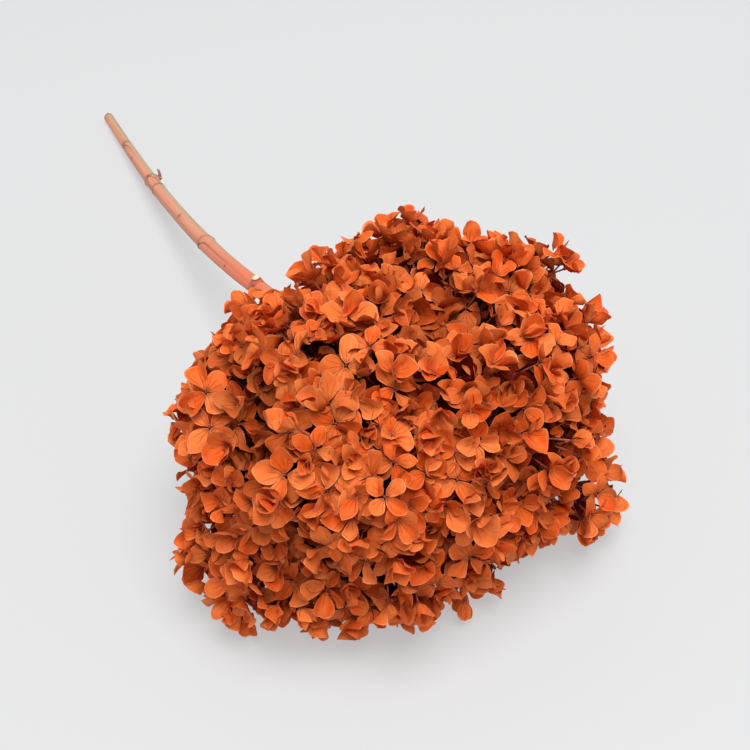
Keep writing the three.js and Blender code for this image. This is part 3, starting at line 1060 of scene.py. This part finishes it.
@dataclass
class FlowerHead:
    """The round head: its florets in layers, the buds between them, and the stalks that carry them."""

    form: HeadForm
    stem: StemLine
    camera: Camera
    branching: Branching = Branching()
    seed: int = 11
    # deeper layers carry more painted shade; the deepest is dark all over
    layers: tuple[Layer, ...] = (
        Layer(1050, (-2.0, 8.0), 0.0),
        Layer(300, (11.0, 18.0), 0.5),
        Layer(120, (21.0, 32.0), 1.0),
    )
    buds: Layer = Layer(160, (5.0, 16.0), 0.3)
    # painted shade that grows with a floret's depth and where it looks into a hollow
    painted_shade_per_mm: float = 0.05
    hollow_painted_shade: float = 0.7
    dome_radius: float = 16.0
    dome_drop: float = 8.0
    spread_from_root: float = 0.45
    spread_from_dome: float = 0.3
    lean: float = 0.9
    lean_range: tuple[float, float] = (0.3, 1.25)
    floret_sizes: tuple[float, float] = (0.84, 1.12)
    seen_size: float = 1.1
    seen_rise: float = 0.12
    seen_depth: float = 1.0
    seen_shares: tuple[float, float, float] = (0.6, 0.75, 0.3)  # of the outline, the camera and the lean
    rises: tuple[tuple[float, float, float], ...] = (  # share of florets up to here, least and most rise
        (0.4, -0.25, 0.35),
        (0.74, 0.35, 0.9),
        (1.0, 0.9, 1.35),
    )
    angle_scatter: float = 0.09
    rise_scatter: float = 0.24
    roll_scatter: float = 0.25
    sepal_sizes: tuple[float, float] = (0.9, 1.08)
    pair_step: float = 0.28  # how far two opposite sepals stand above and below the eye's middle
    eye_lift: float = 0.3
    eye_radii: tuple[float, float] = (0.5, 0.75)
    bud_radii: tuple[float, float] = (0.9, 1.5)
    stem_gap: float = math.radians(13.0)
    steepest: float = 1.5
    lifts: tuple[float, float, float] = (0.0, 1.6, 0.2)  # from, to and step of the extra rise at the stem
    stem_start: float = 180.0
    stem_spots: int = 60
    eye_from_stem: float = 11.0
    sepal_from_stem: float = 8.5
    watched: tuple[float, ...] = (0.4, 0.7, 1.0)  # shares along a sepal that keep clear of the stem
    eye_clearance: float = 2.0
    press_height: float = 1.6
    press_spread: float = 0.5
    sepal_gap: float = 0.7
    tries: int = 40
    seen: tuple[SeenFloret, ...] = (
        SeenFloret(316, 300, 48),
        SeenFloret(330, 297, 14),
        SeenFloret(204, 392, 35),
        SeenFloret(202, 428, 45),
        SeenFloret(281, 391, 0),
        SeenFloret(344, 364, -10),
        SeenFloret(281, 435, 50),
        SeenFloret(282, 477, -6),
        SeenFloret(344, 472, -2),
        SeenFloret(376, 457, 5),
        SeenFloret(326, 500, 47),
        SeenFloret(347, 527, 8),
        SeenFloret(251, 530, -5),
        SeenFloret(215, 595, 30),
        SeenFloret(462, 459, 45),
        SeenFloret(441, 493, 18),
        SeenFloret(405, 534, 50),
        SeenFloret(470, 558, 50),
        SeenFloret(438, 589, 40),
        SeenFloret(539, 435, 52),
    )

    def __post_init__(self) -> None:
        """Starts the random draw and lists points along the stem to keep clear of."""
        self.draw = np.random.default_rng(self.seed)
        alongs = np.linspace(self.stem_start, self.stem.length(), self.stem_spots)
        self.stem_points = self.stem.frames(alongs)[0]
        self.stem_way = unit(np.array(self.branching.crown) - self.form.centre)

    def from_stem(self, points: Array) -> Array:
        """How far each point is from the stem's middle line."""
        return np.linalg.norm(points[:, None] - self.stem_points[None], axis=2).min(axis=1)

    def random_ways(self, count: int) -> Array:
        """Unit vectors spread at random over all directions."""
        return unit(self.draw.normal(size=(count, 3)))

    def lean_way(self) -> Array:
        """A random small push, to lean a floret by."""
        return self.random_ways(1)[0] * self.lean * self.draw.uniform(*self.lean_range)

    def scatter(self, count: int, share: float, depths: tuple[float, float], taken: list[Array]) -> Array:
        """Spreads places over the head, each as far as it can be from those before it.

        Args:
            count: how many places.
            share: the share of the head's reach that they lie at.
            depths: between how far and how far inside that they lie.
            taken: points that are taken already; the new ones are added to it.

        Returns:
            The direction of each place from the head's centre.
        """
        chosen = []
        while len(chosen) < count:
            ways = self.random_ways(self.tries)
            points = self.form.points(ways, share, self.draw.uniform(*depths))
            clear = self.from_stem(points) > self.eye_from_stem
            clear &= ways @ self.stem_way < math.cos(self.stem_gap)
            ways, points = ways[clear], points[clear]
            if not len(ways):
                continue
            room = np.zeros(len(ways))
            if taken:
                room = np.linalg.norm(points[:, None] - np.array(taken)[None], axis=2).min(axis=1)
            best = int(room.argmax())
            chosen.append(ways[best])
            taken.append(points[best])
        return np.array(chosen)

    def branch(self) -> None:
        """Lays out the forks and the twigs, each twig on its nearest fork."""
        plan = self.branching
        crown = np.array(plan.crown)
        fork_ways = self.scatter(plan.forks, plan.fork_share, (0.0, 0.0), [])
        fork_tips = self.form.points(fork_ways, plan.fork_share)
        self.twig_ways = self.scatter(plan.twigs, plan.twig_share, (0.0, 0.0), [])
        tips = self.form.points(self.twig_ways, plan.twig_share)
        self.fork_lines = [(crown, tip) for tip in fork_tips]
        self.twig_fork = np.linalg.norm(tips[:, None] - fork_tips[None], axis=2).argmin(axis=1)
        borne = [0] * plan.forks
        self.twig_lines = []
        for tip, fork in zip(tips, self.twig_fork):
            share = plan.twig_roots[borne[fork] % len(plan.twig_roots)]
            borne[fork] += 1
            self.twig_lines.append((crown + (fork_tips[fork] - crown) * share, tip))

    def seat(self, way: Array, depth: float, dark: float, rise: float) -> Floret:
        """Seats a floret on the dome of its nearest twig.

        Args:
            way: its direction from the head's centre.
            depth: how far inside the outline its eye lies.
            dark: how much painted shade it gets, from 0 at the surface to 1 deep inside.
            rise: how far its sepals stand up from flat, in radians.

        Returns:
            The floret.
        """
        surface = self.form.points(way[None])[0]
        domes = self.form.points(self.twig_ways)
        gaps = np.linalg.norm(domes - surface, axis=1)
        twig = int(gaps.argmin())
        off = (surface - domes[twig]) / self.dome_radius
        drop = self.dome_drop * min(1.0, gaps[twig] / self.dome_radius) ** 2
        eye = self.form.points(way[None], 1.0, depth + drop)[0]
        eye[2] = max(eye[2], self.eye_clearance)
        start, tip = self.twig_lines[twig]
        root = start + (tip - start) * self.draw.uniform(*self.branching.stalk_roots)
        facing = self.form.normal(way) + self.spread_from_root * unit(eye - root)
        facing = facing + self.spread_from_dome * off + self.lean_way()
        return Floret(
            eye=eye,
            facing=unit(facing),
            across=self.random_ways(1)[0],
            rise=rise,
            size=self.draw.uniform(*self.floret_sizes),
            dark=dark,
            root=root,
            spray=int(self.twig_fork[twig]),
        )

    def random_rise(self) -> float:
        """Draws how far a floret's sepals stand up: mostly flat, some cupped, a few nearly shut.

        Returns:
            The rise from flat, in radians.
        """
        kind = self.draw.uniform()
        least, most = next((least, most) for share, least, most in self.rises if kind < share)
        return self.draw.uniform(least, most)

    def seat_all(self) -> list[Floret]:
        """Seats the florets that stand out in the photograph, then fills the layers round them.

        Returns:
            All florets.
        """
        right, up, back = self.camera.axes()
        seated = []
        taken = []
        outward, seen, leant = self.seen_shares
        for spot in self.seen:
            ray = self.camera.ray(spot.column, spot.row)
            way = self.form.meet(np.array(self.camera.place), ray, self.seen_depth)
            if way is None:
                continue
            floret = self.seat(way, self.seen_depth, 0.0, self.seen_rise)
            floret.facing = unit(self.form.normal(way) * outward + back * seen + leant * self.lean_way())
            turn = math.radians(spot.turn)
            floret.across = right * math.cos(turn) + up * math.sin(turn)
            floret.size = self.seen_size
            seated.append(floret)
            taken.append(floret.eye)
        for layer in self.layers:
            for way in self.scatter(layer.count, 1.0, layer.depths, taken):
                depth = self.draw.uniform(*layer.depths)
                # painted shade: darker the deeper a floret sits and the further it looks into a hollow
                dark = layer.dark + self.painted_shade_per_mm * max(0.0, depth - self.seen_depth)
                dark = min(1.0, dark + self.hollow_painted_shade * self.form.shade(way))
                seated.append(self.seat(way, depth, dark, self.random_rise()))
            taken = []
        return seated

    def sepal_turns(self, floret: Floret) -> list[tuple[Array, Array]]:
        """Works out how the four sepals of a floret stand, and lifts those that would meet the stem.

        Args:
            floret: the floret.

        Returns:
            The base and the rotation matrix of each sepal that clears the stem.
        """
        stands = []
        reach = SepalForm.length * floret.size
        for number in range(4):
            angle = math.pi / 2 * (number - 1) + self.draw.normal(0.0, self.angle_scatter)
            rise = floret.rise + self.draw.normal(0.0, self.rise_scatter)
            roll = self.draw.normal(0.0, self.roll_scatter)
            for extra in np.arange(*self.lifts):
                lifted = Matrix.Rotation(min(rise + extra, self.steepest), 3, "X")
                turn = Matrix.Rotation(angle, 3, "Z") @ lifted @ Matrix.Rotation(roll, 3, "Y")
                whole = floret.basis() @ np.array(turn)
                base = floret.eye + whole[:, 1] * self.sepal_gap
                base = base + floret.facing * self.pair_step * (1 if number % 2 else -1)
                reached = np.array([base + whole[:, 1] * reach * share for share in self.watched])
                if self.from_stem(reached).min() > self.sepal_from_stem:
                    stands.append((base, whole))
                    break
        return stands

    def sepal_points(self, name: str, florets: list[Floret], bench: Bench, forms: int) -> bpy.types.Object:
        """Makes the points that the sepals of some florets grow from.

        Args:
            name: what the object is called.
            florets: the florets.
            bench: turns places into the frame's.
            forms: how many sepal forms there are to draw from.

        Returns:
            An object with one vertex for each sepal, and its turn, size, form and depth, the floret's painted
            shade.
        """
        bases = []
        turns = []
        sizes = []
        depths = []
        for floret in florets:
            for base, whole in self.sepal_turns(floret):
                bases.append(base)
                turns.append(tuple(Matrix(whole.tolist()).to_quaternion()))
                sizes.append(floret.size * self.draw.uniform(*self.sepal_sizes))
                depths.append(floret.dark)
        mesh = make_mesh(name, bench.to_frame(np.array(bases)))
        write_attribute(mesh, "turn", "QUATERNION", turns)
        write_attribute(mesh, "size", "FLOAT", sizes)
        write_attribute(mesh, "form", "INT", self.draw.integers(0, forms, len(bases)))
        write_attribute(mesh, "depth", "FLOAT", depths)
        return make_object(name, mesh)

    @staticmethod
    def sepal_tree() -> GrowthTree:
        """Builds the tree that sets a sepal on each point, with a tone of its own.

        Returns:
            The tree, with inputs for the sepal forms, the scale, the seed and the material.
        """
        growth = GrowthTree("grow_sepals")
        sheet = growth.sheet
        forms = sheet.add(
            "GeometryNodeCollectionInfo",
            {"Collection": growth.input("Sepal forms", "Collection"), "Separate Children": True},
        )
        scale = sheet.maths("MULTIPLY", growth.read("size", "FLOAT"), growth.input("Scale", "Float"))
        placed = sheet.add(
            "GeometryNodeInstanceOnPoints",
            {
                "Points": growth.entry.outputs[0],
                "Instance": forms.outputs[0],
                "Pick Instance": True,
                "Instance Index": growth.read("form", "INT"),
                "Rotation": growth.read("turn", "QUATERNION"),
                "Scale": scale,
            },
        )
        tone = sheet.add("FunctionNodeRandomValue", {"Seed": growth.input("Seed", "Int")}, data_type="FLOAT")
        toned = sheet.add(
            "GeometryNodeStoreNamedAttribute",
            {"Geometry": placed.outputs[0], "Name": "tone", "Value": tone.outputs[1]},
            data_type="FLOAT",
            domain="INSTANCE",
        )
        growth.finish(toned.outputs[0])
        return growth

    def settle(self, piece: bpy.types.Object) -> None:
        """Presses what would be under the table flat on to it, and outwards by a share of the drop.

        Args:
            piece: the object whose vertices are moved.
        """
        places = np.empty(len(piece.data.vertices) * 3)
        piece.data.vertices.foreach_get("co", places)
        places = places.reshape(-1, 3)
        height = self.press_height * MM
        low = places[:, 2] < height
        pressed = height * np.exp((places[low, 2] - height) / height)
        pushed = (pressed - places[low, 2])[:, None] * self.press_spread
        middle = np.array(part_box(HEAD_NODE)).sum(axis=0)[:2] / 2
        places[low, :2] += unit(places[low, :2] - middle) * pushed
        places[low, 2] = pressed
        piece.data.vertices.foreach_set("co", places.ravel())
        piece.data.update()

    def grow_sprays(self, florets: list[Floret], bench: Bench) -> None:
        """Builds the petals, one piece for each fork of the head.

        Args:
            florets: all florets.
            bench: turns places into the frame's.
        """
        sepals = SepalBox()
        forms = sepals.make()
        growth = self.sepal_tree()
        finish = PetalFinish().make()
        for spray in range(self.branching.forks):
            own = [floret for floret in florets if floret.spray == spray]
            piece = self.sepal_points(f"spray_{spray + 1}", own, bench, sepals.count)
            values = {"Sepal forms": forms, "Scale": 1.0, "Seed": self.seed + spray, "Material": finish}
            growth.grow(piece, values)
            for name in ("turn", "size", "form"):
                piece.data.attributes.remove(piece.data.attributes[name])
            self.settle(piece)
            mount_piece(piece, HEAD_NODE)
        sepals.empty(forms)

    @staticmethod
    def bud_tree() -> GrowthTree:
        """Builds the tree that sets a small round bud on each point.

        Returns:
            The tree, with inputs for the radius and the material.
        """
        growth = GrowthTree("grow_buds")
        radius = growth.input("Radius", "Float")
        ball = growth.sheet.add("GeometryNodeMeshIcoSphere", {"Radius": radius, "Subdivisions": 1})
        rounded = growth.sheet.add("GeometryNodeSetShadeSmooth", {"Geometry": ball.outputs[0]})
        placed = growth.sheet.add(
            "GeometryNodeInstanceOnPoints",
            {
                "Points": growth.entry.outputs[0],
                "Instance": rounded.outputs[0],
                "Scale": growth.read("size", "FLOAT"),
            },
        )
        growth.finish(placed.outputs[0])
        return growth

    def grow_eyes(self, florets: list[Floret], buds: list[Floret], bench: Bench) -> None:
        """Builds the eye of each floret and the loose buds.

        Args:
            florets: all florets.
            buds: places of buds that never opened.
            bench: turns places into the frame's.
        """
        places = [floret.eye + floret.facing * self.eye_lift for floret in florets]
        places += [bud.eye for bud in buds]
        ranges = [self.eye_radii] * len(florets) + [self.bud_radii] * len(buds)
        sizes = [self.draw.uniform(*radii) for radii in ranges]
        mesh = make_mesh("eyes", bench.to_frame(np.array(places)))
        write_attribute(mesh, "size", "FLOAT", sizes)
        finish = StalkFinish("dried_buds", pale=(0.3, 0.045, 0.02), dark=(0.16, 0.02, 0.01)).make()
        piece = self.bud_tree().grow(make_object("eyes", mesh), {"Radius": MM, "Material": finish})
        mount_piece(piece, HEAD_NODE)

    @staticmethod
    def stalk_tree() -> GrowthTree:
        """Builds the tree that turns each chain of edges into a round stalk.

        Returns:
            The tree, with inputs for the number of sides and the material.
        """
        growth = GrowthTree("grow_stalks")
        sheet = growth.sheet
        line = sheet.add("GeometryNodeMeshToCurve", {"Mesh": growth.entry.outputs[0]})
        section = {"Resolution": growth.input("Sides", "Int"), "Radius": 1.0}
        ring = sheet.add("GeometryNodeCurvePrimitiveCircle", section)
        swept = {
            "Curve": line.outputs[0],
            "Profile Curve": ring.outputs[0],
            "Scale": growth.read("thick", "FLOAT"),
            "Fill Caps": True,
        }
        tube = sheet.add("GeometryNodeCurveToMesh", swept)
        rounded = sheet.add("GeometryNodeSetShadeSmooth", {"Geometry": tube.outputs[0]})
        growth.finish(rounded.outputs[0])
        return growth

    def grow_stalks(self, florets: list[Floret], bench: Bench) -> None:
        """Builds the forks, the twigs and the florets' own stalks as one piece.

        Args:
            florets: all florets and buds.
            bench: turns places into the frame's.
        """
        plan = self.branching
        chains = []
        for lines, radii, bow in (
            (self.fork_lines, plan.fork_radii, plan.fork_bow),
            (self.twig_lines, plan.twig_radii, plan.twig_bow),
        ):
            for start, end in lines:
                middle = (start + end) / 2 + self.random_ways(1)[0] * bow
                chains.append((start, middle, end, radii))
        for floret in florets:
            heel = floret.facing * plan.stalk_heel * np.linalg.norm(floret.eye - floret.root)
            chains.append((floret.root, floret.eye - heel, floret.eye, plan.stalk_radii))
        points = []
        edges = []
        radii = []
        for start, middle, end, ends in chains:
            for step, t in enumerate(np.linspace(0.0, 1.0, plan.steps + 1)):
                point = start * (1 - t) ** 2 + middle * 2 * t * (1 - t) + end * t**2
                point[2] = max(point[2], ends[0])
                if step:
                    edges.append((len(points) - 1, len(points)))
                points.append(point)
                radii.append((ends[0] + (ends[1] - ends[0]) * t) * MM)
        mesh = make_mesh("stalks", bench.to_frame(np.array(points)), edges=edges)
        write_attribute(mesh, "thick", "FLOAT", radii)
        finish = StalkFinish("dyed_stalks", pale=(0.42, 0.09, 0.05), dark=(0.2, 0.03, 0.02)).make()
        values = {"Sides": plan.sides, "Material": finish}
        piece = self.stalk_tree().grow(make_object("stalks", mesh), values)
        mount_piece(piece, HEAD_NODE)

    def make(self, bench: Bench) -> None:
        """Builds the whole head.

        Args:
            bench: turns places into the frame's.
        """
        self.branch()
        florets = self.seat_all()
        bud_ways = self.scatter(self.buds.count, 1.0, self.buds.depths, [])
        buds = [self.seat(way, self.draw.uniform(*self.buds.depths), self.buds.dark, 0.0) for way in bud_ways]
        self.grow_sprays(florets, bench)
        self.grow_eyes(florets, buds, bench)
        self.grow_stalks(florets + buds, bench)


@dataclass(frozen=True)
class Joint:
    """A joint of the stem, where leaves grew."""

    along: float  # from the cut end, as for all that the stem bears
    lip: float  # its height, as a share of the stem's radius
    turn: float  # degrees, the roll at which the lip is highest


@dataclass(frozen=True)
class Tongue:
    """A flat strip of bark past a joint, between two creases that start in a rounded step."""

    along: float
    roll: float  # degrees from straight up towards +X, here and below
    half_width: float  # degrees
    length: float
    height: float


@dataclass(frozen=True)
class Stub:
    """A pruned side shoot, standing out from the stem."""

    along: float
    roll: float
    radius: float
    length: float  # from the stem's middle line
    lean: float  # towards the head
    collar: float = 0.35


@dataclass(frozen=True)
class Scar:
    """A small dark leaf scar on the bark."""

    along: float
    roll: float
    radius: float


@dataclass(frozen=True)
class Ring:
    """A ring of points of a shoot."""

    place: float  # how far along the shoot, in mm or as a share of its length
    width: float  # as a share of the plain radius
    cut: float = 0.0  # 1 on bare wood
    least_mark: float = 0.0  # the least that it is marked


@dataclass
class Shell:
    """A closed part of the stem, with what its bark reads at each point."""

    points: Array
    faces: list[tuple[int, ...]]
    grain: Array  # place round the part, and share of the stem's length
    mark: Array
    cut: Array


@dataclass
class WoodyStem:
    """The woody stem, from its cut end to the crown inside the head."""

    line: StemLine
    radii: tuple[float, ...] = (2.6, 2.9, 3.35, 3.65, 3.9, 4.0, 4.0, 3.8)
    ridge: float = 0.045
    rib: float = 0.012
    rib_turn: float = 40.0  # how far along the stem the fine ribs turn by a radian
    roughness: float = 0.018
    lip_length: float = 1.7
    evenness: float = 0.55
    cuff: float = 0.4
    cuff_length: float = 16.0
    joint_line: float = 0.95  # how wide the dark line before a joint is
    joint_line_back: float = 0.5
    joint_line_least: float = 0.55
    tip_mark: float = 0.55
    tip_mark_length: float = 1.6
    tongue_round: float = 5.0  # how far a tongue's step curves back at its edges
    tongue_step: float = 0.35
    tongue_side: float = 0.06
    crease: float = 0.8
    crease_width: float = 0.13
    scar_mark: float = 0.8
    sides: int = 48
    step: float = 1.25
    cut_end: tuple[Ring, ...] = (  # from the pith's hollow outwards, darkest at the hollow's bottom
        Ring(1.6, 0.3, 1.0, 1.0),
        Ring(0.25, 0.42, 1.0, 0.7),
        Ring(0.0, 0.5, 1.0, 0.3),
        Ring(0.0, 0.9, 1.0, 0.2),
        Ring(0.12, 1.0),
    )
    first_step: float = 0.4
    end_width: float = 0.6
    joints: tuple[Joint, ...] = (
        Joint(39, 0.12, -30),
        Joint(84, 0.15, 55),
        Joint(97, 0.1, 55),
        Joint(170, 0.15, 85),
        Joint(234, 0.16, -5),
    )
    tongues: tuple[Tongue, ...] = (
        Tongue(41, -50, 40, 26, 0.25),
        Tongue(85, -25, 48, 22, 0.3),
        Tongue(171, -88, 52, 60, 0.42),
    )
    scars: tuple[Scar, ...] = (
        Scar(138, -35, 1.3),
        Scar(56, -60, 0.9),
        Scar(204, -60, 0.8),
    )
    stubs: tuple[Stub, ...] = (
        Stub(86, 60, 1.4, 6.0, 0.4),
        Stub(235, -5, 1.9, 6.4, 0.1, 0.6),
        Stub(258, -14, 2.4, 7.5, 0.3, 0.5),
    )
    stub_sides: int = 20
    stub_wobble: float = 0.05
    skin_depth: float = 2.6  # how far inside a stub's cut its collar begins
    twig_radii: tuple[float, float] = (0.9, 0.6)
    twig_length: float = 5.2
    twig_towards: Point = (-0.05, 0.15, 1.0)
    twig_bow: float = 0.4
    twig_sides: int = 10
    twig_rings: tuple[float, ...] = (0.0, 0.25, 0.5, 0.75, 0.97, 1.0)
    twig_tip: float = 0.7
    twig_swelling: float = 0.15
    twig_marks: tuple[float, float] = (0.75, 0.1)

    def shape(self, alongs: Array, rolls: Array) -> tuple[Array, Array]:
        """The stem's radius and how darkly it is marked.

        Args:
            alongs: distances from the cut end.
            rolls: angles round the stem, from straight up towards +X, in radians.

        Returns:
            The radius and the mark, from 0 to 1, at each.
        """
        places = alongs / self.line.length() * (len(self.radii) - 1)
        plain = np.interp(places, np.arange(len(self.radii)), self.radii)
        swell = np.ones_like(alongs)
        mark = np.zeros_like(alongs)
        ridge_turn = np.zeros_like(alongs)
        for joint in self.joints:
            past = alongs - joint.along
            turn = math.radians(joint.turn)
            lip = joint.lip * (self.evenness + (1 - self.evenness) * np.cos(2 * (rolls - turn)))
            swell += lip * bell(past, self.lip_length)
            swell += np.where(past > 0, self.cuff * lip * np.exp(-np.abs(past) / self.cuff_length), 0.0)
            line = bell(past + self.joint_line_back, self.joint_line)
            mark += line * np.clip(lip / joint.lip, self.joint_line_least, 1.0)
            ridge_turn = np.where(past > 0, turn, ridge_turn)
        mark += self.tip_mark * bell(alongs, self.tip_mark_length)
        lift = np.zeros_like(alongs)
        for tongue in self.tongues:
            roll = math.radians(tongue.roll)
            off = np.angle(np.exp(1j * (rolls - roll))) / math.radians(tongue.half_width)
            edge = alongs - tongue.along - self.tongue_round * off**2
            fading = np.clip(1 - (alongs - tongue.along) / tongue.length, 0, 1)
            past_step = 1 / (1 + np.exp(-np.clip(edge / self.tongue_step, -30, 30)))
            inside = past_step / (1 + np.exp((np.abs(off) - 1) / self.tongue_side))
            lift += tongue.height * fading * inside
            crease = self.crease * bell(np.abs(off) - 1, self.crease_width) * (edge > -1)
            crease += bell(edge, 1.0) * (np.abs(off) < 1.1)
            mark += fading * np.clip(crease, 0, 1)
        for scar in self.scars:
            off = np.angle(np.exp(1j * (rolls - math.radians(scar.roll)))) * plain
            mark += self.scar_mark * np.exp(-((alongs - scar.along) ** 2 + off**2) / scar.radius**2)
        ridges = 1 + self.ridge * np.cos(4 * (rolls - ridge_turn))
        ridges += self.rib * np.cos(11 * rolls + alongs / self.rib_turn)
        return plain * swell * ridges + lift, np.clip(mark, 0, 1)

    def shoot(self) -> Shell:
        """Builds the main shoot, hollowed at the cut end.

        Returns:
            The shoot, from the pith's hollow to the crown.
        """
        length = self.line.length()
        rolls = turns_round(self.sides)
        alongs = np.arange(self.first_step, length, self.step)
        rings = [*self.cut_end, *(Ring(along, 1.0) for along in alongs), Ring(length, self.end_width)]
        points = []
        grain = []
        marks = []
        for ring in rings:
            spot = np.full(self.sides, ring.place)
            radius, mark = self.shape(spot, rolls)
            (middle,), _, (side,), (up,) = self.line.frames(np.array([ring.place]))
            rough = [noise.noise(Vector((math.cos(r) * 2, math.sin(r) * 2, ring.place / 6))) for r in rolls]
            radius = radius * ring.width * (1 + self.roughness * np.array(rough))
            points.append(ring_points(middle, (up, side), radius, rolls))
            grain.append(np.stack([np.cos(rolls), np.sin(rolls), spot / length], axis=1))
            marks.append(np.maximum(mark * (1 - ring.cut), ring.least_mark))
        return Shell(
            points=np.maximum(np.vstack(points), (-np.inf, -np.inf, 0.0)),
            faces=tube_faces(len(rings), self.sides, turned=True),
            grain=np.vstack(grain),
            mark=np.concatenate(marks),
            cut=np.repeat([ring.cut for ring in rings], self.sides),
        )

    def stub_root(self, stub: Stub) -> tuple[Array, Array, Array]:
        """Works out where and how a stub stands on the stem.

        Args:
            stub: which pruned shoot.

        Returns:
            The point of the middle line that it starts from, the way it grows and the stem's own way there.
        """
        middle, forward, side, up = (rows[0] for rows in self.line.frames(np.array([float(stub.along)])))
        roll = math.radians(stub.roll)
        way = unit(up * math.cos(roll) + side * math.sin(roll) + forward * stub.lean)
        return middle, way, forward

    def stub(self, stub: Stub) -> Shell:
        """Builds a pruned side shoot: a collar, a short neck and a flat pale cut with a dark edge.

        Args:
            stub: which pruned shoot.

        Returns:
            The shoot, from the stem's middle line to its cut.
        """
        middle, way, forward = self.stub_root(stub)
        first = unit(np.cross(way, forward))
        axes = (first, np.cross(way, first))
        turns = turns_round(self.stub_sides)
        skin = (stub.length - self.skin_depth) / stub.length
        # marked darker where the stub leaves the stem, below and round its cut's edge, and in the cut's
        # middle
        rings = (
            Ring(0.0, 1.5),
            Ring(skin, 1.0 + stub.collar, least_mark=0.5),
            Ring(0.5 * (1 + skin), 1.06 + 0.4 * stub.collar, least_mark=0.15),
            Ring(0.95, 1.0, least_mark=0.9),
            Ring(1.0, 0.9, 0.3, 1.0),
            Ring(1.0, 0.72, 1.0, 0.1),
            Ring(0.99, 0.32, 1.0),
            Ring(0.95, 0.2, 1.0, 0.5),
        )
        points = []
        for ring in rings:
            radius = stub.radius * ring.width * (1 + self.stub_wobble * np.cos(3 * turns + stub.along))
            points.append(ring_points(middle + way * stub.length * ring.place, axes, radius, turns))
        spot = np.full(len(turns), stub.along / self.line.length())
        return Shell(
            points=np.vstack(points),
            faces=tube_faces(len(rings), len(turns)),
            grain=np.tile(np.stack([np.cos(turns), np.sin(turns), spot], axis=1), (len(rings), 1)),
            mark=np.repeat([ring.least_mark for ring in rings], len(turns)),
            cut=np.repeat([ring.cut for ring in rings], len(turns)),
        )

    def dry_twig(self) -> Shell:
        """Builds the small dead twig that turns up from the first stub.

        Returns:
            The twig, from the stub to its tip.
        """
        stub = self.stubs[0]
        middle, way, _ = self.stub_root(stub)
        start = middle + way * (stub.length - self.twig_radii[0])
        towards = unit(self.twig_towards)
        first = unit(np.cross(towards, way))
        axes = (first, np.cross(towards, first))
        turns = turns_round(self.twig_sides)
        points = []
        for share in self.twig_rings:
            radius = self.twig_radii[0] + (self.twig_radii[1] - self.twig_radii[0]) * share
            radius *= self.twig_tip if share == 1.0 else 1 + self.twig_swelling * math.sin(9 * share)
            bow = way * self.twig_bow * math.sin(math.pi * share)
            centre = start + towards * self.twig_length * share + bow
            points.append(ring_points(centre, axes, radius, turns))
        rings = len(points)
        total = rings * self.twig_sides
        return Shell(
            points=np.vstack(points),
            faces=tube_faces(rings, self.twig_sides),
            grain=np.tile([1.0, 0.5, stub.along / self.line.length()], (total, 1)),
            mark=np.repeat(np.linspace(*self.twig_marks, rings), self.twig_sides),
            cut=np.zeros(total),
        )

    def make(self, bench: Bench) -> None:
        """Builds the stem as one piece.

        Args:
            bench: turns places into the frame's.
        """
        shells = [self.shoot(), *(self.stub(stub) for stub in self.stubs), self.dry_twig()]
        faces = []
        start = 0
        for shell in shells:
            faces += [tuple(start + index for index in face) for face in shell.faces]
            start += len(shell.points)
        points = bench.to_frame(np.vstack([shell.points for shell in shells]))
        mesh = make_mesh("woody_stem", points, faces)
        write_attribute(mesh, "grain", "FLOAT_VECTOR", np.vstack([shell.grain for shell in shells]))
        write_attribute(mesh, "mark", "FLOAT", np.concatenate([shell.mark for shell in shells]))
        write_attribute(mesh, "cut", "FLOAT", np.concatenate([shell.cut for shell in shells]))
        mesh.materials.append(BarkFinish().make())
        mount_piece(make_object("woody_stem", mesh), STEM_NODE)


def main() -> None:
    """Builds the camera, the studio, the stem and the head."""
    logging.basicConfig(level=logging.INFO, format="%(name)s: %(message)s")
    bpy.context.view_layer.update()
    bench = Bench()
    camera = Camera()
    camera.make(bench)
    Studio().make(bench)
    line = StemLine()
    WoodyStem(line).make(bench)
    FlowerHead(HeadForm(), line, camera).make(bench)


if __name__ == "__main__":
    main()
